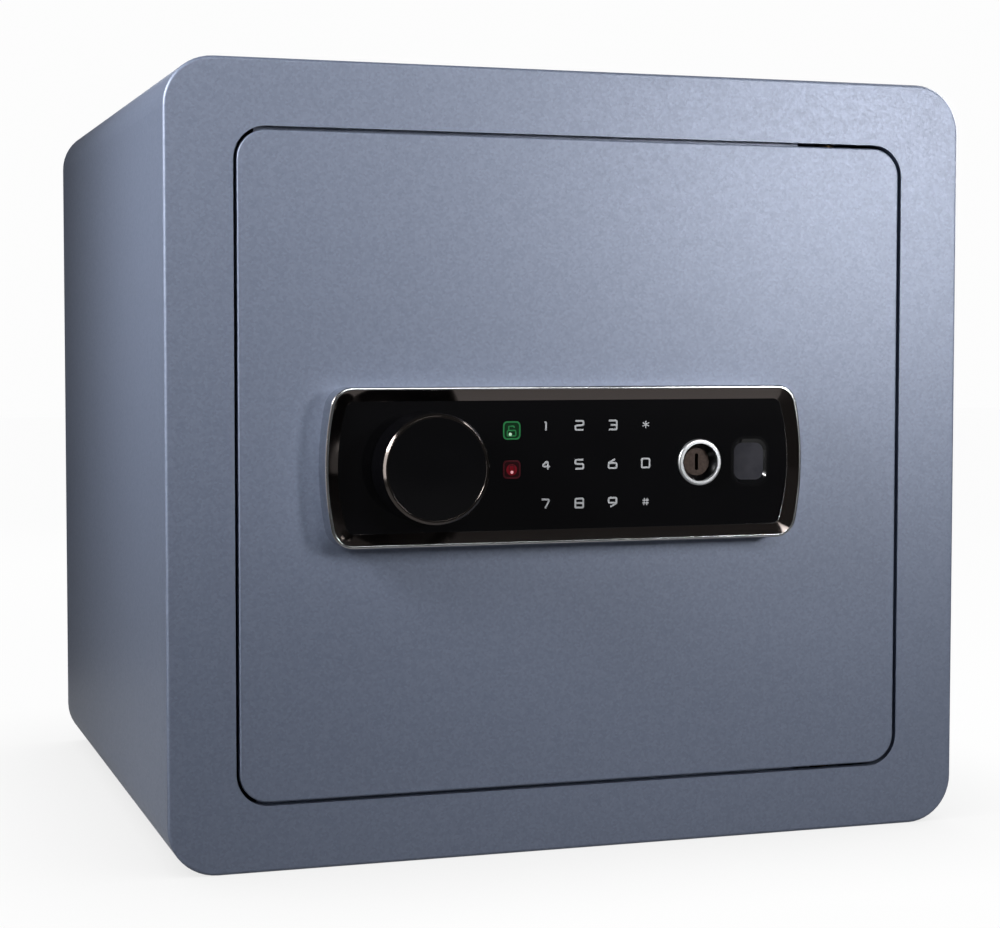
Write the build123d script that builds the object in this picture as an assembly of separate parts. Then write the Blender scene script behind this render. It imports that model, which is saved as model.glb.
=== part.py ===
from build123d import *
import math
import os

# Electronic safe: a steel cabinet with a flush door, a lock panel with a turning knob,
# and the bolt work in a box behind the door plate. Millimetres, +Z up, the front faces -Y,
# and the origin is at the middle of the cabinet's underside.

# Cabinet
BODY_W = 380.0
BODY_H = 352.0
BODY_D = 340.0
SHELL_T = 3.0
FRAME_T = 5.0
BACK_T = 3.0
CORNER_R = 22.0
FRONT_EDGE_R = 1.5
SIDE_MARGIN = 30.0
END_MARGIN = 29.0

# Door plate
DOOR_GAP = 1.6
DOOR_R = 13.0
DOOR_EDGE_R = 0.8

# Fits and clearances
RUN_FIT = 0.05
LOOSE_FIT = 0.3
FREE_GAP = 0.5

# Hinges: short pins behind the door plate, near its right edge
HINGE_INSET = 34.0
HINGE_PIN_R = 3.0
KNUCKLE_W = 16.0
KNUCKLE_WALL = 4.5
KNUCKLE_H = 10.0
BRACKET_W = 20.0
BRACKET_D = 15.0
BRACKET_H = 10.0
BRACKET_SETBACK = 1.0
PIN_HEAD_R = 4.6
PIN_HEAD_T = 2.5

# Strike on the left, stops above and below the door
STRIKE_T = 3.0
STRIKE_DEPTH = 48.0
STRIKE_FOOT = 17.5
STRIKE_WINDOW = 26.0
STRIKE_END = 20.0
STOP_T = 2.4
STOP_W = 22.0
STOP_LAP = 5.0

# Lock panel on the door's face
PANEL_X = -10.0
PANEL_W = 226.0
PANEL_H = 70.0
PANEL_BULGE = 4.5
PANEL_R = 10.0
PANEL_PROUD = 12.0
RIM_W = 1.2
BEVEL_W = 5.0
BEVEL_DEPTH = 2.6
LIP_T = 0.2
BEZEL_WALL = 2.2
BEZEL_EDGE_R = 0.8
FASCIA_T = 1.5
HOUSING_WALL = 2.5
HOUSING_FLOOR = 2.0

# Keypad: four columns and three rows of touch keys, and two status lights
KEY_X = 2.5
KEY_PITCH_X = 16.0
KEY_PITCH_Z = 17.4
PAD_R = 4.0
PAD_T = 1.5
LIGHT_X = -37.5
LIGHT_DROP = 1.0
LIGHT_SIZE = 5.0
BOARD_W = 138.0
BOARD_H = 52.0
BOARD_T = 1.6
BOARD_MARGIN = 1.0
POST_R = 2.5
POST_INSET = 4.0

# Fingerprint reader
FINGER_X = 78.2
FINGER_W = 16.6
FINGER_H = 20.6
FINGER_R = 5.5
FINGER_WALL = 1.2
WINDOW_W = 14.6
WINDOW_H = 17.0
WINDOW_R = 4.0
FINGER_SINK = 1.4
SENSOR_T = 2.4

# Emergency key cylinder
KEYLOCK_X = 52.8
RING_R = 10.6
RING_WALL = 2.0
RING_PROUD = 1.5
CUP_DEPTH = 3.0
PLUG_R = 6.2
BARREL_WALL = 2.2
BARREL_BEHIND = 8.0
KEYWAY_W = 1.6
KEYWAY_H = 7.5
KEYWAY_DEPTH = 12.0
NUT_R = 13.0
NUT_T = 4.0
CAM_L = 20.0
CAM_W = 10.0
CAM_T = 2.0

# Knob, spindle and crank
KNOB_X = -77.5
KNOB_R = 24.5
KNOB_PROUD = 28.0
KNOB_FLOAT = 0.6
KNOB_DRAFT = 0.5
TRIM_T = 1.5
TRIM_W = 1.9
TRIM_CHAMFER = 0.8
CAP_DISH = 0.7
SPINDLE_R = 5.0
SPINDLE_IN_KNOB = 12.0
BUSH_WALL = 3.0
BUSH_FLANGE_R = 12.0
BUSH_FLANGE_T = 2.0
BUSH_BEHIND = 5.0
SPACER_R = 9.0
SPACER_T = 3.0
CRANK_DISC_R = 26.0
CRANK_DISC_T = 5.0
CRANK_PIN_R = 4.0
CRANK_PIN_L = 8.5
LUG_R = 32.0
LUG_ANGLE = 34.0
SCREW_HEAD_T = 2.0

# Bolt work
THROW_ANGLE = 60.0
BOLT_THROW = 20.0
BOLT_R = 10.0
BOLT_L = 45.0
BOLT_SPACING = 85.0
BOLT_CHAMFER = 1.5
BOLT_BEHIND = 31.0
CARRIAGE_T = 3.0
CARRIAGE_END = 12.0
ARM_BEHIND = 18.0
ARM_H = 28.0
ARM_RISE = 6.0
SLOT_SIDE = 0.25
SLOT_END = 0.6
STUD_R = 3.0
STUD_X = -35.0
STUD_CLIP_R = 5.5
STUD_CLIP_T = 1.2
GUIDE_T = 3.0
GUIDE_FROM_PAN = 18.0
GUIDE_FOOT = 12.0
GUIDE_FOOT_T = 2.0
BOLT_SCREW_R = 3.0
BOLT_SCREW_HEAD_R = 5.0
BOLT_SCREW_IN = 14.0

# Latching solenoid below the crank
PLUNGER_R = 3.5
PLUNGER_STROKE = 5.5
PLUNGER_GAP = 1.0
PLUNGER_SHOW = 15.0
SOLENOID_W = 24.0
SOLENOID_D = 20.0
SOLENOID_H = 34.0
SOLENOID_BRACKET_T = 1.5
SOLENOID_EAR = 8.0
CLIP_R = 6.5
CLIP_T = 1.5

# Door box and its cover
PAN_SIDE = 10.0
PAN_END = 14.4
PAN_HINGE_CLEAR = 12.4
PAN_DEPTH = 52.0
PAN_T = 1.5
PAN_R = 6.0
PAN_FLANGE = 12.0
COVER_T = 1.2
SCREW_R = 2.0
SCREW_HEAD_R = 3.6
SCREW_L = 8.0
PANEL_SCREW_X = 92.0
PANEL_SCREW_Z = 22.0

# Battery holder: four AA cells in the cover
CELL_R = 7.1
CELL_L = 50.3
CELL_GAP = 0.8
CELL_COUNT = 4
CELL_NUB_R = 2.5
CELL_NUB_H = 1.0
TRAY_FROM_EDGE = 68.0
TRAY_WALL = 2.0
TRAY_END_ROOM = 3.8
RAIL_W = 3.0
RAIL_LIP = 1.5
RIM_T = 1.5
LID_T = 2.0
LID_TRAVEL = 60.0
GRIP_W = 18.0
GRIP_BAR_H = 1.0
GRIP_BAR_W = 1.5
GRIP_PITCH = 4.5
GRIP_BARS = 3
CONTACT_T = 0.5
CONTACT_CUP_R = 2.2

# Reset button in the cover
RESET_FROM_EDGE = 22.0
RESET_Z = 230.0
RESET_R = 4.0
RESET_PROUD = 3.3
RESET_FLANGE_R = 5.8
RESET_FLANGE_T = 2.2
RESET_TRAVEL = 1.5
SWITCH_W = 16.0
SWITCH_D = 14.0
SWITCH_WELL = 10.0

# Wiring inside the door
LEAD_R = 1.6
GROMMET_R = 6.0
GROMMET_X = -20.0
GROMMET_DROP = 22.0
GROMMET_LIP = 2.0
LEAD_BEND = 9.0

# Inside the cabinet
SHELF_Z = 172.0
SHELF_T = 1.5
SHELF_LIP = 12.0
SHELF_SIDE_GAP = 3.0
SHELF_BACK_GAP = 4.0
DOOR_BOX_CLEAR = 12.0
SUPPORT_W = 15.0
SUPPORT_T = 1.5
MAT_T = 3.0
MAT_INSET = 8.0
MAT_HOLE_EXTRA = 3.0
ANCHOR_R = 6.0
FLOOR_ANCHOR_X = 220.0
FLOOR_ANCHOR_Y = 160.0
WALL_ANCHOR_X = 220.0
WALL_ANCHOR_Z = 250.0

# Planes and centres worked out from the sizes above
FRONT_Y = -BODY_D / 2
BACK_Y = BODY_D / 2
PLATE_Y = FRONT_Y + FRAME_T
MID_Z = BODY_H / 2
OPEN_W = BODY_W - 2 * SIDE_MARGIN
OPEN_H = BODY_H - 2 * END_MARGIN
DOOR_W = OPEN_W - 2 * DOOR_GAP
DOOR_H = OPEN_H - 2 * DOOR_GAP
DOOR_BOTTOM = MID_Z - DOOR_H / 2
DOOR_TOP = MID_Z + DOOR_H / 2
OPEN_BOTTOM = MID_Z - OPEN_H / 2
OPEN_TOP = MID_Z + OPEN_H / 2
INNER_X = BODY_W / 2 - SHELL_T

HINGE_X = DOOR_W / 2 - HINGE_INSET
HINGE_Y = PLATE_Y + LOOSE_FIT + PIN_HEAD_R
BRACKET_LOW_TOP = OPEN_BOTTOM - BRACKET_SETBACK
BRACKET_HIGH_BOTTOM = OPEN_TOP + BRACKET_SETBACK
KNUCKLE_LOW = DOOR_BOTTOM + LOOSE_FIT
KNUCKLE_HIGH = DOOR_TOP - LOOSE_FIT

PANEL_FRONT = FRONT_Y - PANEL_PROUD
FASCIA_FRONT = PANEL_FRONT + BEVEL_DEPTH + LIP_T
FASCIA_BACK = FASCIA_FRONT + FASCIA_T
BOARD_FRONT = FASCIA_BACK + PAD_T
BOARD_BACK = BOARD_FRONT + BOARD_T
FLOOR_PLANE = FRONT_Y - HOUSING_FLOOR

KNOB_FRONT = FRONT_Y - KNOB_PROUD
KNOB_BACK = FASCIA_FRONT - KNOB_FLOAT
BUSH_BACK = PLATE_Y + BUSH_BEHIND
DISC_FRONT = BUSH_BACK + LOOSE_FIT + SPACER_T
DISC_BACK = DISC_FRONT + CRANK_DISC_T
CRANK_R = BOLT_THROW / (2 * math.sin(math.radians(THROW_ANGLE / 2)))
REST_ANGLE = 90.0 - THROW_ANGLE / 2
CRANK_PIN_X = KNOB_X + CRANK_R * math.cos(math.radians(REST_ANGLE))
CRANK_PIN_Z = MID_Z + CRANK_R * math.sin(math.radians(REST_ANGLE))

PAN_LEFT = -OPEN_W / 2 + PAN_SIDE
PAN_RIGHT = HINGE_X - PAN_HINGE_CLEAR
PAN_BOTTOM = DOOR_BOTTOM + PAN_END
PAN_TOP = DOOR_TOP - PAN_END
PAN_BACK = PLATE_Y + PAN_DEPTH
COVER_BACK = PAN_BACK + COVER_T

BOLT_Y = PLATE_Y + BOLT_BEHIND
BOLT_TAIL = PAN_LEFT + BOLT_L
BOLT_HEIGHTS = [MID_Z - BOLT_SPACING, MID_Z, MID_Z + BOLT_SPACING]
ARM_Y = PLATE_Y + ARM_BEHIND
ARM_BOTTOM = MID_Z + ARM_RISE
ARM_TOP = ARM_BOTTOM + ARM_H
STUD_Z = (ARM_BOTTOM + ARM_TOP) / 2
ARM_RIGHT = STUD_X + BOLT_THROW + STUD_R + BOLT_SCREW_HEAD_R
GUIDE_X = PAN_LEFT + GUIDE_FROM_PAN

PLUNGER_Y = (DISC_FRONT + DISC_BACK) / 2
PLUNGER_TOP = MID_Z - LUG_R - PLUNGER_GAP
SOLENOID_TOP = PLUNGER_TOP - PLUNGER_SHOW
SOLENOID_FRONT = PLUNGER_Y - SOLENOID_D / 2

BARREL_R = PLUG_R + RUN_FIT + BARREL_WALL
BARREL_BACK = PLATE_Y + BARREL_BEHIND
PLUG_FRONT = FASCIA_FRONT + CUP_DEPTH
CAM_FRONT = BARREL_BACK + LOOSE_FIT

TRAY_X = PAN_RIGHT - TRAY_FROM_EDGE
RESET_X = PAN_RIGHT - RESET_FROM_EDGE
TRAY_INNER_W = CELL_COUNT * 2 * CELL_R + (CELL_COUNT + 1) * CELL_GAP
TRAY_INNER_H = CELL_L + 2 * TRAY_END_ROOM
TRAY_W = TRAY_INNER_W + 2 * TRAY_WALL
TRAY_H = TRAY_INNER_H + 2 * TRAY_WALL
TRAY_DEPTH = 2 * CELL_R + 2 * CELL_GAP + TRAY_WALL
TRAY_FRONT = COVER_BACK - TRAY_DEPTH
RIM_BACK = COVER_BACK + RIM_T
LID_BACK = RIM_BACK + RUN_FIT * 2 + LID_T

GROMMET_Z = MID_Z - GROMMET_DROP
KEY_ROWS = [MID_Z + KEY_PITCH_Z, MID_Z, MID_Z - KEY_PITCH_Z]
KEY_COLUMNS = [KEY_X + (i - 1.5) * KEY_PITCH_X for i in range(4)]
BOARD_X = PANEL_X + PANEL_W / 2 - BEZEL_WALL - HOUSING_WALL - PANEL_BULGE - BOARD_W / 2 - BOARD_MARGIN


def block(x0, x1, y0, y1, z0, z1):
    """A plain block between two opposite corners."""
    centre = Pos((x0 + x1) / 2, (y0 + y1) / 2, (z0 + z1) / 2)
    return centre * Box(x1 - x0, y1 - y0, z1 - z0)


def rod_x(radius, x0, x1, y, z):
    """A round bar along X."""
    return Pos((x0 + x1) / 2, y, z) * Rot(0, 90, 0) * Cylinder(radius, x1 - x0)


def rod_y(radius, y0, y1, x, z):
    """A round bar along Y."""
    return Pos(x, (y0 + y1) / 2, z) * Rot(90, 0, 0) * Cylinder(radius, y1 - y0)


def rod_z(radius, z0, z1, x, y):
    """A round bar along Z."""
    return Pos(x, y, (z0 + z1) / 2) * Cylinder(radius, z1 - z0)


def slab(outline, y0, y1, x, z):
    """A front-view outline made into a plate from y0 to y1."""
    return Pos(x, y1, z) * extrude(Plane.XZ * outline, y1 - y0)


def taper(front, back, y0, y1, x, z):
    """A solid between a front outline at y0 and a back outline at y1."""
    front_face = Pos(x, y0, z) * (Plane.XZ * front)
    back_face = Pos(x, y1, z) * (Plane.XZ * back)
    return loft([front_face, back_face], ruled=True)


def panel_outline(inset):
    """The lock panel's outline: bowed ends and round corners, drawn in by the inset."""
    half_w = PANEL_W / 2 - inset
    half_h = PANEL_H / 2 - inset
    shoulder = half_w - PANEL_BULGE
    top = Line((-shoulder, half_h), (shoulder, half_h))
    right = ThreePointArc((shoulder, half_h), (half_w, 0), (shoulder, -half_h))
    bottom = Line((shoulder, -half_h), (-shoulder, -half_h))
    left = ThreePointArc((-shoulder, -half_h), (-half_w, 0), (-shoulder, half_h))
    face = make_face([top, right, bottom, left])
    return fillet(face.vertices(), max(PANEL_R - inset, PANEL_R / 4))


def front_edges(part, y):
    """The edges of a part that lie in the plane at y."""
    return part.edges().filter_by_position(Axis.Y, y - 0.01, y + 0.01)


def cabinet_shell():
    """The wrapped steel box: four walls with round corners, open at both ends."""
    outer = RectangleRounded(BODY_W, BODY_H, CORNER_R)
    inner = RectangleRounded(BODY_W - 2 * SHELL_T, BODY_H - 2 * SHELL_T, CORNER_R - SHELL_T)
    shell = slab(outer - inner, PLATE_Y, BACK_Y, 0, MID_Z)
    for x in (-FLOOR_ANCHOR_X / 2, FLOOR_ANCHOR_X / 2):
        for y in (-FLOOR_ANCHOR_Y / 2, FLOOR_ANCHOR_Y / 2):
            shell -= rod_z(ANCHOR_R, -1, SHELL_T + 1, x, y)
    return shell


def front_frame():
    """The front plate round the door opening, with a softened outer edge."""
    plate = slab(RectangleRounded(BODY_W, BODY_H, CORNER_R), FRONT_Y, PLATE_Y, 0, MID_Z)
    plate = fillet(front_edges(plate, FRONT_Y), FRONT_EDGE_R)
    opening = RectangleRounded(OPEN_W, OPEN_H, DOOR_R + DOOR_GAP)
    plate -= slab(opening, FRONT_Y - 1, PLATE_Y + 1, 0, MID_Z)
    return plate


def back_plate():
    """The back wall, let in flush between the shell's walls, with two wall anchor holes."""
    outline = RectangleRounded(BODY_W - 2 * SHELL_T, BODY_H - 2 * SHELL_T, CORNER_R - SHELL_T)
    plate = slab(outline, BACK_Y - BACK_T, BACK_Y, 0, MID_Z)
    for x in (-WALL_ANCHOR_X / 2, WALL_ANCHOR_X / 2):
        plate -= rod_y(ANCHOR_R, BACK_Y - BACK_T - 1, BACK_Y + 1, x, WALL_ANCHOR_Z)
    return plate


def strike_plate():
    """The angle behind the left frame edge, with a window for each bolt."""
    edge = -OPEN_W / 2 - FREE_GAP
    low = BOLT_HEIGHTS[0] - STRIKE_WINDOW / 2 - STRIKE_END
    high = BOLT_HEIGHTS[-1] + STRIKE_WINDOW / 2 + STRIKE_END
    strike = block(edge - STRIKE_T, edge, PLATE_Y, PLATE_Y + STRIKE_DEPTH, low, high)
    strike += block(edge - STRIKE_FOOT, edge, PLATE_Y, PLATE_Y + STRIKE_T, low, high)
    half = STRIKE_WINDOW / 2
    for z in BOLT_HEIGHTS:
        strike -= block(edge - STRIKE_T - 1, edge + 1, BOLT_Y - half, BOLT_Y + half, z - half, z + half)
    return strike


def door_stop(side):
    """A stop strip on the frame's back, lapping the door's edge; side is 1 on top, -1 below."""
    edge = MID_Z + side * OPEN_H / 2
    left = -OPEN_W / 2 + PAN_SIDE
    right = HINGE_X - KNUCKLE_W
    outer = edge + side * (STOP_W - STOP_LAP)
    inner = edge - side * STOP_LAP
    foot = block(left, right, PLATE_Y, PLATE_Y + STOP_T, min(edge, outer), max(edge, outer))
    lip = block(left, right, PLATE_Y + LOOSE_FIT, PLATE_Y + STOP_T, min(inner, outer), max(inner, outer))
    return foot + lip


def hinge_bracket(side):
    """The block welded behind the frame that takes one hinge pin."""
    if side > 0:
        low = BRACKET_HIGH_BOTTOM
    else:
        low = BRACKET_LOW_TOP - BRACKET_H
    half = BRACKET_W / 2
    body = block(HINGE_X - half, HINGE_X + half, PLATE_Y, PLATE_Y + BRACKET_D, low, low + BRACKET_H)
    return body - rod_z(HINGE_PIN_R + RUN_FIT, low - 1, low + BRACKET_H + 1, HINGE_X, HINGE_Y)


def thrust_washers():
    """The bronze washers between the brackets and the door's knuckles."""
    bore = HINGE_PIN_R + 2 * RUN_FIT
    low_top = KNUCKLE_LOW - LOOSE_FIT
    low = rod_z(PIN_HEAD_R, BRACKET_LOW_TOP, low_top, HINGE_X, HINGE_Y)
    low -= rod_z(bore, BRACKET_LOW_TOP - 1, low_top + 1, HINGE_X, HINGE_Y)
    high_bottom = KNUCKLE_HIGH + LOOSE_FIT
    high = rod_z(PIN_HEAD_R, high_bottom, BRACKET_HIGH_BOTTOM, HINGE_X, HINGE_Y)
    high -= rod_z(bore, high_bottom - 1, BRACKET_HIGH_BOTTOM + 1, HINGE_X, HINGE_Y)
    return Compound([low, high])


def shelf_supports():
    """The two angle strips on the side walls that the shelf rests on."""
    strips = []
    front = COVER_BACK + DOOR_BOX_CLEAR
    back = BACK_Y - BACK_T
    top = SHELF_Z - SHELF_T
    for side in (-1, 1):
        wall = side * INNER_X
        tip = side * (INNER_X - SUPPORT_W)
        web = side * (INNER_X - SUPPORT_T)
        ledge = block(min(wall, tip), max(wall, tip), front, back, top - SUPPORT_T, top)
        upright = block(min(wall, web), max(wall, web), front, back, top - SUPPORT_W, top)
        strips.append(ledge + upright)
    return Compound(strips)


def floor_mat():
    """The felt mat on the floor, cut clear of the floor anchor holes."""
    half_w = BODY_W / 2 - CORNER_R - FREE_GAP
    front = PLATE_Y + MAT_INSET
    back = BACK_Y - BACK_T - MAT_INSET
    mat = block(-half_w, half_w, front, back, SHELL_T, SHELL_T + MAT_T)
    for x in (-FLOOR_ANCHOR_X / 2, FLOOR_ANCHOR_X / 2):
        for y in (-FLOOR_ANCHOR_Y / 2, FLOOR_ANCHOR_Y / 2):
            mat -= rod_z(ANCHOR_R + MAT_HOLE_EXTRA, 0, SHELL_T + MAT_T + 1, x, y)
    return mat


def shelf():
    """The loose steel shelf, with a turned-down front lip between the supports."""
    half_w = INNER_X - SHELF_SIDE_GAP
    lip_half = INNER_X - SUPPORT_W - SHELF_SIDE_GAP
    front = COVER_BACK + DOOR_BOX_CLEAR
    back = BACK_Y - BACK_T - SHELF_BACK_GAP
    tray = block(-half_w, half_w, front, back, SHELF_Z - SHELF_T, SHELF_Z)
    tray += block(-lip_half, lip_half, front, front + SHELF_T, SHELF_Z - SHELF_LIP, SHELF_Z)
    return tray


def panel_screw_places():
    """Where the panel is screwed on from behind the door plate."""
    return [(PANEL_X + sx * PANEL_SCREW_X, MID_Z + sz * PANEL_SCREW_Z) for sx in (-1, 1) for sz in (-1, 1)]


def door_plate():
    """The flush door plate, pierced for the spindle, key cylinder, wiring and panel screws."""
    plate = slab(RectangleRounded(DOOR_W, DOOR_H, DOOR_R), FRONT_Y, PLATE_Y, 0, MID_Z)
    plate = fillet(front_edges(plate, FRONT_Y), DOOR_EDGE_R)
    plate -= rod_y(SPINDLE_R + RUN_FIT + BUSH_WALL, FRONT_Y - 1, PLATE_Y + 1, KNOB_X, MID_Z)
    plate -= rod_y(BARREL_R, FRONT_Y - 1, PLATE_Y + 1, KEYLOCK_X, MID_Z)
    plate -= rod_y(GROMMET_R, FRONT_Y - 1, PLATE_Y + 1, GROMMET_X, GROMMET_Z)
    for x, z in panel_screw_places():
        plate -= rod_y(SCREW_R, FRONT_Y - 1, PLATE_Y + 1, x, z)
    return plate


def hinge_knuckle(side):
    """The block on the door plate's back that holds one hinge pin."""
    if side > 0:
        low = KNUCKLE_HIGH - KNUCKLE_H
    else:
        low = KNUCKLE_LOW
    half = KNUCKLE_W / 2
    back = HINGE_Y + HINGE_PIN_R + KNUCKLE_WALL
    body = block(HINGE_X - half, HINGE_X + half, PLATE_Y, back, low, low + KNUCKLE_H)
    return body - rod_z(HINGE_PIN_R, low - 1, low + KNUCKLE_H + 1, HINGE_X, HINGE_Y)


def hinge_pins():
    """The two headed pins: pressed into the knuckles, turning in the brackets."""
    low_start = BRACKET_LOW_TOP - BRACKET_H - LOOSE_FIT
    low = rod_z(HINGE_PIN_R, low_start, KNUCKLE_LOW + KNUCKLE_H, HINGE_X, HINGE_Y)
    low += rod_z(PIN_HEAD_R, low_start - PIN_HEAD_T, low_start, HINGE_X, HINGE_Y)
    high_end = BRACKET_HIGH_BOTTOM + BRACKET_H + LOOSE_FIT
    high = rod_z(HINGE_PIN_R, KNUCKLE_HIGH - KNUCKLE_H, high_end, HINGE_X, HINGE_Y)
    high += rod_z(PIN_HEAD_R, high_end, high_end + PIN_HEAD_T, HINGE_X, HINGE_Y)
    return Compound([low, high])


def cover_screw_places():
    """Screw centres along the door box's back flange."""
    inset = PAN_FLANGE / 2
    xs = [PAN_LEFT + inset, (PAN_LEFT + PAN_RIGHT) / 2, PAN_RIGHT - inset]
    return [(x, z) for x in xs for z in (PAN_BOTTOM + inset, PAN_TOP - inset)]


def door_pan():
    """The folded box behind the door plate, with an inward back flange and three bolt holes."""
    width = PAN_RIGHT - PAN_LEFT
    height = PAN_TOP - PAN_BOTTOM
    x = (PAN_LEFT + PAN_RIGHT) / 2
    outer = RectangleRounded(width, height, PAN_R)
    inner = RectangleRounded(width - 2 * PAN_T, height - 2 * PAN_T, PAN_R - PAN_T)
    pan = slab(outer - inner, PLATE_Y, PAN_BACK, x, MID_Z)
    window = RectangleRounded(width - 2 * PAN_FLANGE, height - 2 * PAN_FLANGE, PAN_R)
    pan += slab(outer - window, PAN_BACK - PAN_T, PAN_BACK, x, MID_Z)
    for z in BOLT_HEIGHTS:
        pan -= rod_x(BOLT_R + LOOSE_FIT, PAN_LEFT - 1, PAN_LEFT + PAN_T + 1, BOLT_Y, z)
    for sx, sz in cover_screw_places():
        pan -= rod_y(SCREW_R, PAN_BACK - PAN_T - 1, PAN_BACK + 1, sx, sz)
    return pan


def door_back_cover():
    """The sheet that closes the door box, cut out for the battery tray and the reset button."""
    width = PAN_RIGHT - PAN_LEFT
    height = PAN_TOP - PAN_BOTTOM
    x = (PAN_LEFT + PAN_RIGHT) / 2
    cover = slab(RectangleRounded(width, height, PAN_R), PAN_BACK, COVER_BACK, x, MID_Z)
    cover -= slab(Rectangle(TRAY_W, TRAY_H), PAN_BACK - 1, COVER_BACK + 1, TRAY_X, MID_Z)
    cover -= rod_y(RESET_R + LOOSE_FIT, PAN_BACK - 1, COVER_BACK + 1, RESET_X, RESET_Z)
    for sx, sz in cover_screw_places():
        cover -= rod_y(SCREW_R, PAN_BACK - 1, COVER_BACK + 1, sx, sz)
    return cover


def pan_head_screw(x, z, seat, length):
    """A cross-head screw seen from behind: its head stands behind the seat plane."""
    head = rod_y(SCREW_HEAD_R, seat, seat + SCREW_HEAD_T, x, z)
    head = fillet(front_edges(head, seat + SCREW_HEAD_T), SCREW_HEAD_T * 0.45)
    cross = SCREW_HEAD_R * 0.55
    slot = SCREW_R * 0.2
    deep = seat + SCREW_HEAD_T / 2
    head -= block(x - cross, x + cross, deep, seat + SCREW_HEAD_T + 1, z - slot, z + slot)
    head -= block(x - slot, x + slot, deep, seat + SCREW_HEAD_T + 1, z - cross, z + cross)
    return head + rod_y(SCREW_R, seat - length, seat, x, z)


def door_screws():
    """The six screws round the cover, and the four that hold the lock panel from behind."""
    screws = [pan_head_screw(x, z, COVER_BACK, SCREW_L) for x, z in cover_screw_places()]
    length = FRAME_T + HOUSING_FLOOR
    screws += [pan_head_screw(x, z, PLATE_Y, length) for x, z in panel_screw_places()]
    return Compound(screws)


def panel_bezel():
    """The chromed surround: a thin rim, a bevel that falls in to the fascia, and a side wall."""
    outer = slab(panel_outline(0), PANEL_FRONT, FRONT_Y, PANEL_X, MID_Z)
    outer = fillet(front_edges(outer, PANEL_FRONT), BEZEL_EDGE_R)
    mouth = panel_outline(RIM_W)
    throat = panel_outline(RIM_W + BEVEL_W)
    bevel_back = PANEL_FRONT + BEVEL_DEPTH
    outer -= taper(mouth, throat, PANEL_FRONT, bevel_back, PANEL_X, MID_Z)
    outer -= slab(throat, bevel_back - 0.01, FASCIA_FRONT, PANEL_X, MID_Z)
    outer -= slab(panel_outline(BEZEL_WALL), FASCIA_FRONT, FRONT_Y + 1, PANEL_X, MID_Z)
    return outer


def panel_fascia():
    """The gloss black front sheet, cut for the spindle, the key ring and the finger guide."""
    sheet = slab(panel_outline(BEZEL_WALL), FASCIA_FRONT, FASCIA_BACK, PANEL_X, MID_Z)
    sheet -= rod_y(SPINDLE_R + BUSH_WALL, FASCIA_FRONT - 1, FASCIA_BACK + 1, KNOB_X, MID_Z)
    sheet -= rod_y(RING_R - RING_WALL / 2, FASCIA_FRONT - 1, FASCIA_BACK + 1, KEYLOCK_X, MID_Z)
    guide = RectangleRounded(FINGER_W + 2 * FINGER_WALL, FINGER_H + 2 * FINGER_WALL, FINGER_R + FINGER_WALL)
    return sheet - slab(guide, FASCIA_FRONT - 1, FASCIA_BACK + 1, FINGER_X, MID_Z)


def board_posts():
    """Centres of the four posts that carry the circuit board."""
    half_w = BOARD_W / 2 - POST_INSET
    half_h = BOARD_H / 2 - POST_INSET
    return [(BOARD_X + sx * half_w, MID_Z + sz * half_h) for sx in (-1, 1) for sz in (-1, 1)]


def panel_housing():
    """The moulded tray behind the fascia, with a floor, board posts and a spindle boss."""
    tray = slab(panel_outline(BEZEL_WALL), FASCIA_BACK, FRONT_Y, PANEL_X, MID_Z)
    tray -= slab(panel_outline(BEZEL_WALL + HOUSING_WALL), FASCIA_BACK - 1, FLOOR_PLANE, PANEL_X, MID_Z)
    boss_r = SPINDLE_R + BUSH_WALL
    tray += rod_y(boss_r + HOUSING_WALL, FASCIA_BACK, FLOOR_PLANE, KNOB_X, MID_Z)
    tray -= rod_y(boss_r, FASCIA_BACK - 1, FRONT_Y + 1, KNOB_X, MID_Z)
    tray -= rod_y(BARREL_R, FASCIA_BACK - 1, FRONT_Y + 1, KEYLOCK_X, MID_Z)
    tray -= rod_y(GROMMET_R, FLOOR_PLANE - 1, FRONT_Y + 1, GROMMET_X, GROMMET_Z)
    for x, z in board_posts():
        tray += rod_y(POST_R, BOARD_BACK, FLOOR_PLANE, x, z)
    for x, z in panel_screw_places():
        tray -= rod_y(SCREW_R, FLOOR_PLANE - 1, FRONT_Y + 1, x, z)
    return tray


def circuit_board():
    """The keypad board, cut round the key cylinder and the finger sensor."""
    board = slab(Rectangle(BOARD_W, BOARD_H), BOARD_FRONT, BOARD_BACK, BOARD_X, MID_Z)
    board -= rod_y(BARREL_R + LOOSE_FIT, BOARD_FRONT - 1, BOARD_BACK + 1, KEYLOCK_X, MID_Z)
    return board


def touch_pads():
    """The twelve touch pads between the board and the fascia."""
    pads = [rod_y(PAD_R, FASCIA_BACK, BOARD_FRONT, x, z) for x in KEY_COLUMNS for z in KEY_ROWS]
    return Compound(pads)


def indicator_lights():
    """The two status lights behind the fascia."""
    lights = []
    for z in KEY_ROWS[:2]:
        face = Rectangle(LIGHT_SIZE, LIGHT_SIZE)
        lights.append(slab(face, FASCIA_BACK, BOARD_FRONT, LIGHT_X, z - LIGHT_DROP))
    return Compound(lights)


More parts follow.
